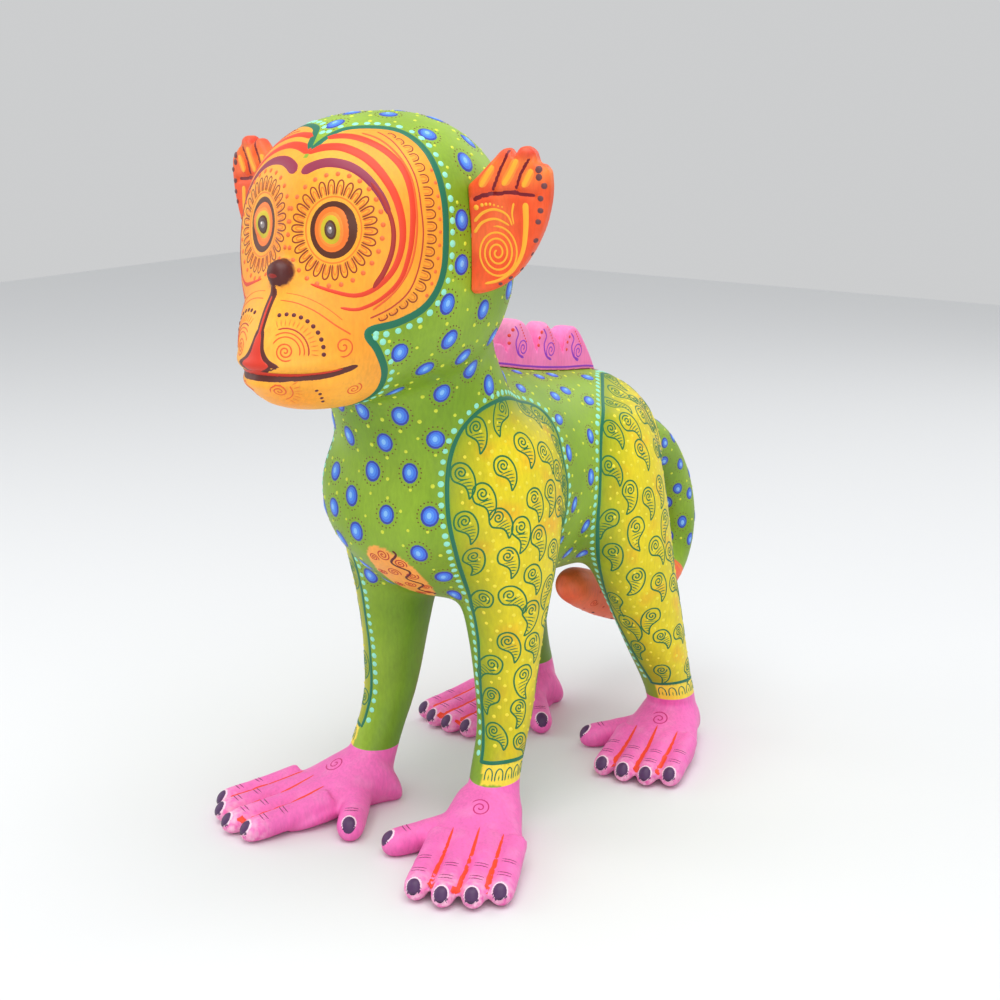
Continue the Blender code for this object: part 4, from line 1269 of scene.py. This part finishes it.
for label, (place, scale, tips, side) in HANDS.items():
    tips = [tuple(t) for t in tips]
    forwards = (place(0, 1) - place(0, 0)).normalized()
    roots = [o * 0.93 for o, _ in tips]
    for (oa, la), (ob, lb) in zip(tips, tips[1:]):
        mid, reach_to = (oa + ob) / 2, min(la, lb) - 1.0
        groove = [down(place, mid * (0.93 + 0.07 * t), 26 + (reach_to - 26) * t)[0] for t in np.linspace(-0.12, 1, 18)]
        art.ribbon(groove, 4.0, "finger_red", taper=(0.2, 1.0))
    for out, ahead in tips + [THUMB_TIP]:
        thumb = (out, ahead) == tuple(THUMB_TIP)
        if thumb:
            axis = (place(*THUMB_TIP) - place(*THUMB_ROOT)).normalized()
            spot = place(*THUMB_TIP) - axis * 2.2 * scale
        else:
            axis = forwards
            spot = place(out, ahead) - axis * 1.6 * scale
        top, normal = skin.cast(Vector((spot.x, spot.y, 23)), Vector((0, 0, -1)), 30)
        tilt = (Vector((0, 0, 0.85)) + axis * 0.55).normalized()
        nail = Frame(skin, top, tilt, axis)
        art.oval(nail, 3.5, 4.0, "nail_edge", cv=0.3, sides=20)
        art.oval(nail, 2.9, 3.5, "nail", level=1, cv=0.6, sides=20)
        back = 9.5 if not thumb else 9.0
        for step in (0.0, 1.7, 8.5, 10.0) if not thumb else (0.0, 1.7):
            centre = spot - axis * (back + step - 2) * scale
            across = axis.cross(UP)
            dash = []
            for t in (-1, -0.5, 0, 0.5, 1):
                q = centre + across * (2.6 * t) + axis * (0.6 * (1 - t * t))
                dash.append(skin.cast(Vector((q.x, q.y, 23)), Vector((0, 0, -1)), 30)[0])
            art.ribbon(dash, 0.75, "knuckle")
    top, normal = down(place, 0, 13 if "fore" in label else 18)
    back_of_hand = Frame(skin, top, Vector((0, 0, 1)) + forwards * 0.35, forwards)
    art.spiral(back_of_hand, 4.2, 1.9, 0.8, "hand_spiral", hand=side)

GROUPS = {
    "head_strokes": lambda c: (c - NECK_POINT).dot(NECK_NORMAL) > 0,
    "torso_strokes": lambda c: c.z > LEG_CUT_Z,
    "foreleg_left_strokes": lambda c: c.x > 0 and c.y < 5,
    "foreleg_right_strokes": lambda c: c.x <= 0 and c.y < 5,
    "hindleg_left_strokes": lambda c: c.x > 0,
    "hindleg_right_strokes": lambda c: True,
}
art.made("figure_strokes", "figure", groups=GROUPS)

# ---------------------------------------------------------------- ears, tail and crest


def flat_plate(outline, half_thickness, to_point, edge):
    """A plate from an outline of two coordinates, thinner by edge on its rim."""
    bm = bmesh.new()
    rims = []
    centre = [sum(p[k] for p in outline) / len(outline) for k in (0, 1)]
    for pulled, depth in ((1, -half_thickness), (0, -half_thickness + edge), (0, half_thickness - edge), (1, half_thickness)):
        ring = []
        for a, b in outline:
            away = math.hypot(a - centre[0], b - centre[1])
            share = 1 - pulled * edge / max(away, edge)
            ring.append(bm.verts.new(to_point(centre[0] + (a - centre[0]) * share, centre[1] + (b - centre[1]) * share, depth)))
        rims.append(ring)
    for low, high in zip(rims, rims[1:]):
        for k in range(len(outline)):
            n = (k + 1) % len(outline)
            bm.faces.new((low[k], low[n], high[n], high[k]))
    bm.faces.new(list(reversed(rims[0])))
    bm.faces.new(rims[-1])
    bmesh.ops.triangulate(bm, faces=bm.faces)
    return bm


def rooted(mesh, direction, gap, far):
    """Pushes what would lie inside the carving out along the direction, so the root leans on its skin."""
    co = verts_of(mesh)
    for i, row in enumerate(co):
        point = Vector(row)
        place, normal, _, _ = skin.tree.ray_cast(point + direction * far, -direction, far + 12)
        if place is None:
            continue
        shortfall = (place - point).dot(direction) + gap
        if shortfall > 0:
            co[i] = point + direction * shortfall
    mesh.vertices.foreach_set("co", co.ravel())
    mesh.update()
    bm = bmesh.new()
    bm.from_mesh(mesh)
    bmesh.ops.remove_doubles(bm, verts=bm.verts, dist=0.05)
    bmesh.ops.dissolve_degenerate(bm, dist=0.02, edges=bm.edges)
    bmesh.ops.recalc_face_normals(bm, faces=bm.faces)
    for face in bm.faces:
        face.smooth = True
    bm.to_mesh(mesh)
    bm.free()


def coated(mesh, colours):
    add_colours(mesh, "coat", colours)


PLAIN_COAT = coat_material("painted_ear", second=False)
TAIL_COAT = coat_material("painted_tail", second=False)
CREST_COAT = coat_material("painted_crest", second=False)
sweep = math.radians(EAR_SWEEP)
for side, label in ((1, "left"), (-1, "right")):
    out = Vector((math.cos(sweep) * side, math.sin(sweep), 0))
    facing = Vector((math.sin(sweep) * side, -math.cos(sweep), 0))
    root = Vector((EAR_ROOT.x * side, EAR_ROOT.y, EAR_ROOT.z))

    def place_ear(outwards, upwards, forwards):
        return root + out * outwards + Vector((0, 0, upwards)) + facing * forwards

    outline = smooth_rows(EAR_BOTTOM, 3)[:-1] + smooth_rows(EAR_FINGERS, 3)
    ear = fused("ear_form_" + label, finished_mesh("ear_" + label, flat_plate(outline, EAR_THICKNESS / 2, place_ear, 1.6)), 0.7, 2, 0)
    co = verts_of(ear)
    rel = co - np.array(root)
    a, b, f = rel @ np.array(out), rel[:, 2], rel @ np.array(facing)
    front = np.clip(f / 1.5, 0, 1)
    dip = 0.5 * np.exp(-(((a - 12) / 8.5) ** 2 + ((b - 17) / 12) ** 2))
    # Grooves carved across the palm of the ear and between its lobes
    for line, depth, wide in (
        (catmull([Vector((p[0], p[1], 0)) for p in ((2, 32.4), (8.5, 34.2), (16, 34.9), (24.8, 34.2))], 0.6), 0.9, 1.0),
        (catmull([Vector((p[0], p[1], 0)) for p in ((15.2, 49.6), (12, 42.7), (9, 35))], 0.6), 1.1, 1.1),
        (catmull([Vector((p[0], p[1], 0)) for p in ((23, 47), (19.7, 41.8), (17.7, 36.4))], 0.6), 1.1, 1.1),
    ):
        near = np.full(len(co), 1e9)
        for p in line:
            near = np.minimum(near, (a - p.x) ** 2 + (b - p.y) ** 2)
        dip = dip + depth * np.exp(-near / (wide * wide))
    co -= np.array(facing)[None, :] * (dip * front)[:, None]
    ear.vertices.foreach_set("co", co.ravel())
    ear.update()
    rooted(ear, out, 0.35, 40)
    co = verts_of(ear)
    rel = co - np.array(root)
    a, b = rel @ np.array(out), rel[:, 2]
    colour = np.tile(tone(240, 84, 34), (len(co), 1))
    colour = blend_to(colour, tone(250, 118, 62), (field(9.0, 21, co) - 0.45) * 1.6)
    colour = blend_to(colour, tone(252, 150, 56), np.clip((b - 36) / 6, 0, 1) * np.clip(field(4.0, 23, co) * 2 - 0.5, 0, 1) * 0.6)
    colour = blend_to(colour, tone(214, 50, 50), np.clip((b - 45) / 4, 0, 1) * 0.6)
    coated(ear, colour)
    on = Skin(ear)
    brush = Painter(on)
    face = Frame(on, root + Vector((0, 0, 20)), facing, UP, 0, side)

    def line_on_ear(points_2d):
        return face.path([(p[0], p[1] - 20) for p in points_2d])

    brush.ribbon(line_on_ear([(2.0, 32.0), (5, 33.4), (8.5, 34.2), (16, 34.9), (24.8, 34.2)]), 2.0, "ear_line", taper=(1.2, 0.8))
    brush.ribbon(line_on_ear([(15, 49.0), (13.6, 45.8), (12, 42.7), (9, 35.4)]), 1.5, "ear_line")
    brush.ribbon(line_on_ear([(22.6, 46.4), (19.7, 41.8), (17.7, 36.2)]), 1.5, "ear_line")
    for streak in ([(4.8, 36.6), (7, 40), (9.6, 43.9)], [(13.2, 37.4), (15.8, 41.2), (18.4, 46.2)], [(20.6, 37.0), (22.2, 40), (23.9, 43.0)]):
        brush.ribbon(line_on_ear(streak), 3.9, "ear_amber")
        brush.ribbon(line_on_ear(streak), 2.3, "ear_yellow", level=1)
    spiral = []
    for k in range(121):
        t = k / 120
        angle = math.radians(100) + 2 * math.pi * 4.0 * t
        r = 0.6 + 7.4 * t
        spiral.append((11.0 + r * math.cos(angle) * 0.98, 14.6 + r * math.sin(angle) * 1.12))
    brush.ribbon([face.at(u, v - 20)[0] for u, v in spiral], 0.95, "ear_yellow")
    brush.ribbon(line_on_ear([(2.6, 21.0), (5.5, 24.6), (10.5, 26.0), (15.5, 24.0)]), 1.4, "ear_yellow", taper=(1.2, 0.6))
    brush.ribbon(line_on_ear([(2.6, 24.8), (5.6, 27.8), (10, 29.2), (14.6, 27.6), (16.6, 24.0)]), 1.4, "ear_yellow", taper=(1.2, 0.6))
    brush.ribbon(line_on_ear([(17.2, 31.6), (16.6, 28), (17.2, 24.4)]), 1.2, "ear_yellow", taper=(1.0, 0.6))
    brush.ribbon(line_on_ear([(21.5, 31.8), (21.7, 24), (20.6, 15.5), (17.2, 9.2), (12, 5.4), (6.5, 3.8)]), 2.3, "ear_yellow", taper=(1.2, 0.45))
    brush.dot(face.at(3.3, 9.6)[0], 1.05, "ear_yellow")
    for k in range(6):
        brush.dot(face.at(5.4 + 1.5 * k, 10.5 + 0.4 * math.sin(k * 0.9))[0], 0.75 - 0.07 * k, "ear_yellow", sides=8)
    for p, size in (((26.3, 43.0), 1.3), ((26.4, 40.4), 1.3), ((28.3, 37.6), 1.1), ((27.0, 33.4), 1.1), ((27.0, 29.4), 1.05), ((26.2, 25.6), 1.0),
                    ((25.0, 19.2), 1.0), ((23.0, 14.2), 0.9), ((19.0, 9.0), 1.0), ((15.6, 6.1), 0.9), ((12.0, 3.9), 0.8)):
        brush.dot(face.at(p[0], p[1] - 20)[0], size, "ear_dot", sides=9)
    back = Frame(on, root + Vector((0, 0, 20)), -facing, UP, 0, -side)
    for p in [(26.8, 31), (26.4, 26), (25.0, 21), (22.6, 16), (19.4, 11.6), (15.4, 8)]:
        brush.dot(back.at(p[0], p[1] - 20)[0], 0.95, "ear_dot", sides=8)
    brush.ribbon([back.at(u, v - 20)[0] for u, v in spiral], 0.95, "ear_yellow")
    placed("ear_" + label + "_painted", ear, "ear_" + label + "_body", PLAIN_COAT, "ear_" + label)
    brush.made("ear_" + label + "_strokes", "ear_" + label + "_body")

# ---- the tail: green with blue ovals, coral towards its tip
rows = smooth_rows(TAIL, 6)
line = [Vector((0, y, z)) for y, z, _ in rows]
bm = bmesh.new()
sections = []
for i, (point, row) in enumerate(zip(line, rows)):
    ahead = line[min(i + 1, len(line) - 1)] - line[max(i - 1, 0)]
    up = ahead.cross(Vector((1, 0, 0))).normalized()
    sections.append((point, Vector((row[2], 0, 0)), up * row[2]))
add_tube(bm, sections, 40)
bmesh.ops.triangulate(bm, faces=[f for f in bm.faces if len(f.verts) > 4])
tail = fused("tail_form", finished_mesh("tail", bm), 1.0, 3, 0)
rooted(tail, Vector((0, 1, 0)), 0.35, 60)
co = verts_of(tail)
spots = np.array([tuple(p) for p in line])
nearest = np.sqrt(((co[:, None, 1:] - spots[None, :, 1:]) ** 2).sum(2)).argmin(1)
TAIL_CHANGE = next(i for i, p in enumerate(line) if p.z < 62)
normals_t = np.zeros(len(co) * 3)
tail.vertex_normals.foreach_get("vector", normals_t)
# The tail's green, with the same painted light and shade as the body's
colour = green_coat_with_painted_shade(co, normals_t.reshape(-1, 3))
coral = np.tile(tone(250, 108, 66), (len(co), 1))
coral = blend_to(coral, tone(255, 138, 86), (field(11.0, 31, co) - 0.45) * 1.8)
colour = np.where((nearest >= TAIL_CHANGE)[:, None], coral, colour)
coated(tail, colour)
on = Skin(tail)
brush = Painter(on)


def round_tail(i, angle):
    """The tail's skin at a station of its line and an angle: 0 on the left, 90 on the outer side of the curl."""
    ahead = (line[min(i + 1, len(line) - 1)] - line[max(i - 1, 0)]).normalized()
    outer = ahead.cross(Vector((1, 0, 0))).normalized() * -1
    a = math.radians(angle)
    ray = Vector((math.cos(a), 0, 0)) + outer * math.sin(a)
    place, normal, _, _ = on.tree.ray_cast(line[i] + ray * 14, -ray, 16)
    return (place, normal, ahead) if place is not None else (*on.snap(line[i] + ray * rows[i][2]), ahead)


brush.ribbon([round_tail(TAIL_CHANGE, a)[0] for a in range(0, 360, 10)], 1.1, "ear_amber", closed=True)
travel = [0.0]
for p, q in zip(line, line[1:]):
    travel.append(travel[-1] + (q - p).length)
ring = 0
distance = 13.0
while distance < travel[-1] - 10:
    i = min(range(len(travel)), key=lambda k: abs(travel[k] - distance))
    green = i < TAIL_CHANGE - 4
    if green or i > TAIL_CHANGE + 4:
        for k in range(5):
            place, normal, ahead = round_tail(i, 72 * k + 36 * (ring % 2))
            if skin.snap(place)[1] is not None and (skin.snap(place)[0] - place).length < 5:
                continue
            at = Frame(on, place, normal, ahead)
            if green:
                brush.oval(at, 2.7, 3.5, "blue_rim")
                brush.oval(at, 2.2, 2.9, "blue_mid", level=1)
                brush.oval(at, 1.2, 1.7, "blue_light", level=2, cv=0.3, sides=10)
                for b in range(15):
                    a = 2 * math.pi * b / 15
                    brush.dot(at.at(3.7 * math.cos(a), 4.5 * math.sin(a))[0], 0.36, "ring_brown", sides=6)
            elif ring % 2:
                brush.spiral(at, 2.4, 1.8, 0.55, "tail_line")
            else:
                brush.dot(place, 0.8, "tail_dot")
            place, normal, ahead = round_tail(i, 72 * k + 36 * (ring % 2) + 36)
            brush.dot(place, 0.7, "dot_yellow" if green else "tail_line", sides=7)
    ring += 1
    distance += 10.5 if green else 8.0
placed("tail_painted", tail, "tail_body", TAIL_COAT, "tail")
brush.made("tail_strokes", "tail_body")

# ---- the crest: pink with a purple wave and spiral on each tooth
crest = fused("crest_form", finished_mesh("crest", flat_plate(
    [tuple(p) for p in CREST_BASE] + smooth_rows(CREST_EDGE, 3), CREST_HALF_THICKNESS, lambda y, z, x: Vector((x, y, z)), 1.8,
)), 0.7, 2, 0)
rooted(crest, UP, 0.35, 60)
co = verts_of(crest)
colour = np.tile(tone(254, 128, 192), (len(co), 1))
colour = blend_to(colour, tone(244, 96, 170), (field(8.0, 41, co) - 0.45) * 1.2)
colour = blend_to(colour, tone(252, 160, 205), np.clip((co[:, 2] - 186) / 8, 0, 1) * 0.7)
coated(crest, colour)
on = Skin(crest)
brush = Painter(on)
for side in (1, -1):
    def on_crest(points_yz, spacing=0.6):
        return [
            on.snap(on.tree.ray_cast(Vector((20 * side, p.x, p.y)), Vector((-side, 0, 0)), 30)[0] or Vector((4.4 * side, p.x, p.y)))[0]
            for p in catmull([Vector((y, z, 0)) for y, z in points_yz], spacing)
        ]

    def back_height(y):
        return skin.cast(Vector((3.8 * side, y, 260)), Vector((0, 0, -1)), 120)[0].z

    brush.ribbon(on_crest([(y, back_height(y) + 1.5) for y in np.linspace(-17, 55, 13)]), 1.2, "crest_purple")
    for top_y, top_z in ((-2, 195.5), (18, 192), (38.5, 187.5)):
        base = back_height(top_y) + 2
        height = top_z - base
        brush.ribbon(on_crest([(top_y - 1.5, top_z - 2.0), (top_y + 0.6, top_z - 0.30 * height), (top_y - 1.0, top_z - 0.5 * height), (top_y + 0.5, base + 0.24 * height), (top_y + 4.2, base + 0.12 * height)]), 1.5, "crest_purple", taper=(0.6, 1.0))
        middle = (top_y + 4.0, base + 0.34 * height)
        swirl = []
        for k in range(61):
            t = k / 60
            r = 0.4 + 3.2 * t
            angle = math.radians(-90) - 2 * math.pi * 2.0 * (1 - t)
            swirl.append((middle[0] + r * math.cos(angle), middle[1] + r * math.sin(angle) * 1.1))
        brush.ribbon(on_crest(swirl, 5), 0.8, "crest_purple")
        for k in range(7):
            t = k / 6
            y, z = top_y + 1.8 + 4.4 * t, top_z - 1.8 - 0.42 * height * t
            spot = on_crest([(y, z), (y, z), (y, z)], 5)[0]
            brush.dot(spot, 0.55, "crest_red", sides=7)
        for dy, dz in ((-4.2, -5.5), (-4.8, -8.5), (-2.6, -3.4)):
            brush.dot(on_crest([(top_y + dy, top_z + dz)] * 3, 5)[0], 0.8, "crest_red", sides=8)
placed("crest_painted", crest, "figure", CREST_COAT, "crest")
brush.made("crest_strokes", "figure")

# ---- bare copal wood of the pegs, pins and dowels
WOOD = bpy.data.materials.new("bare_copal")
WOOD.use_nodes = True
wood_tree = WOOD.node_tree
wood_shader = wood_tree.nodes["Principled BSDF"]
wave = wood_tree.nodes.new("ShaderNodeTexWave")
wave.inputs["Scale"].default_value = 260
wave.inputs["Distortion"].default_value = 3.0
ramp = wood_tree.nodes.new("ShaderNodeValToRGB")
ramp.color_ramp.elements[0].color = (*linear(222, 190, 140), 1)
ramp.color_ramp.elements[1].color = (*linear(240, 214, 168), 1)
place_wood = wood_tree.nodes.new("ShaderNodeTexCoord")
wood_tree.links.new(place_wood.outputs["Object"], wave.inputs["Vector"])
wood_tree.links.new(wave.outputs["Fac"], ramp.inputs["Fac"])
wood_tree.links.new(ramp.outputs["Color"], wood_shader.inputs["Base Color"])
wood_shader.inputs["Roughness"].default_value = 0.7
for node_name in frame["nodes"]:
    if "dowel" in node_name or "peg" in node_name or "pin" in node_name:
        for obj in bpy.context.scene.objects:
            if obj.type == "MESH" and obj.get("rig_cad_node") == node_name:
                obj.data.materials.clear()
                obj.data.materials.append(WOOD)

# ---------------------------------------------------------------- view, light and floor

camera = bpy.data.objects.new("camera", bpy.data.cameras.new("camera"))
camera.location = (0.40476, -0.56488, 0.30038)
camera.rotation_euler = (math.radians(90 - 14.51), 0, math.radians(35.91))
camera.data.lens = 62.507
camera.data.sensor_width = 36
camera.data.clip_start = 0.01
bpy.context.scene.collection.objects.link(camera)
bpy.context.scene.camera = camera


def area_light(name, place, target, size, power, colour=(1, 1, 1)):
    data = bpy.data.lights.new(name, "AREA")
    data.shape = "SQUARE"
    data.size = size
    data.energy = power
    data.color = colour
    lamp = bpy.data.objects.new(name, data)
    lamp.location = place
    lamp.rotation_euler = (Vector(target) - Vector(place)).to_track_quat("-Z", "Y").to_euler()
    bpy.context.scene.collection.objects.link(lamp)


area_light("overhead", (0.15, -0.25, 1.05), (0, 0, 0.1), 0.9, 7.0)
area_light("front", (0.75, -0.95, 0.55), (0, 0, 0.13), 0.8, 3.0)
area_light("left", (-0.9, -0.45, 0.55), (0, 0, 0.13), 0.7, 2.2)
area_light("behind", (0.2, 0.9, 0.7), (0, 0, 0.15), 0.7, 1.7)

room = bpy.data.worlds.new("room")
room.use_nodes = True
room.node_tree.nodes["Background"].inputs["Color"].default_value = (0.98, 0.99, 1.0, 1)
room.node_tree.nodes["Background"].inputs["Strength"].default_value = 0.62
bpy.context.scene.world = room
bpy.context.scene.view_settings.view_transform = "Standard"

floor_mesh = bpy.data.meshes.new("floor")
floor_mesh.from_pydata([(-1.5, -1.5, 0), (1.5, -1.5, 0), (1.5, 1.5, 0), (-1.5, 1.5, 0)], [], [(0, 1, 2, 3)])
floor = bpy.data.objects.new("floor", floor_mesh)
bpy.context.scene.collection.objects.link(floor)
floor_paint = bpy.data.materials.new("floor")
floor_paint.use_nodes = True
floor_paint.node_tree.nodes["Principled BSDF"].inputs["Base Color"].default_value = (0.80, 0.81, 0.82, 1)
floor_paint.node_tree.nodes["Principled BSDF"].inputs["Roughness"].default_value = 0.7
floor_mesh.materials.append(floor_paint)
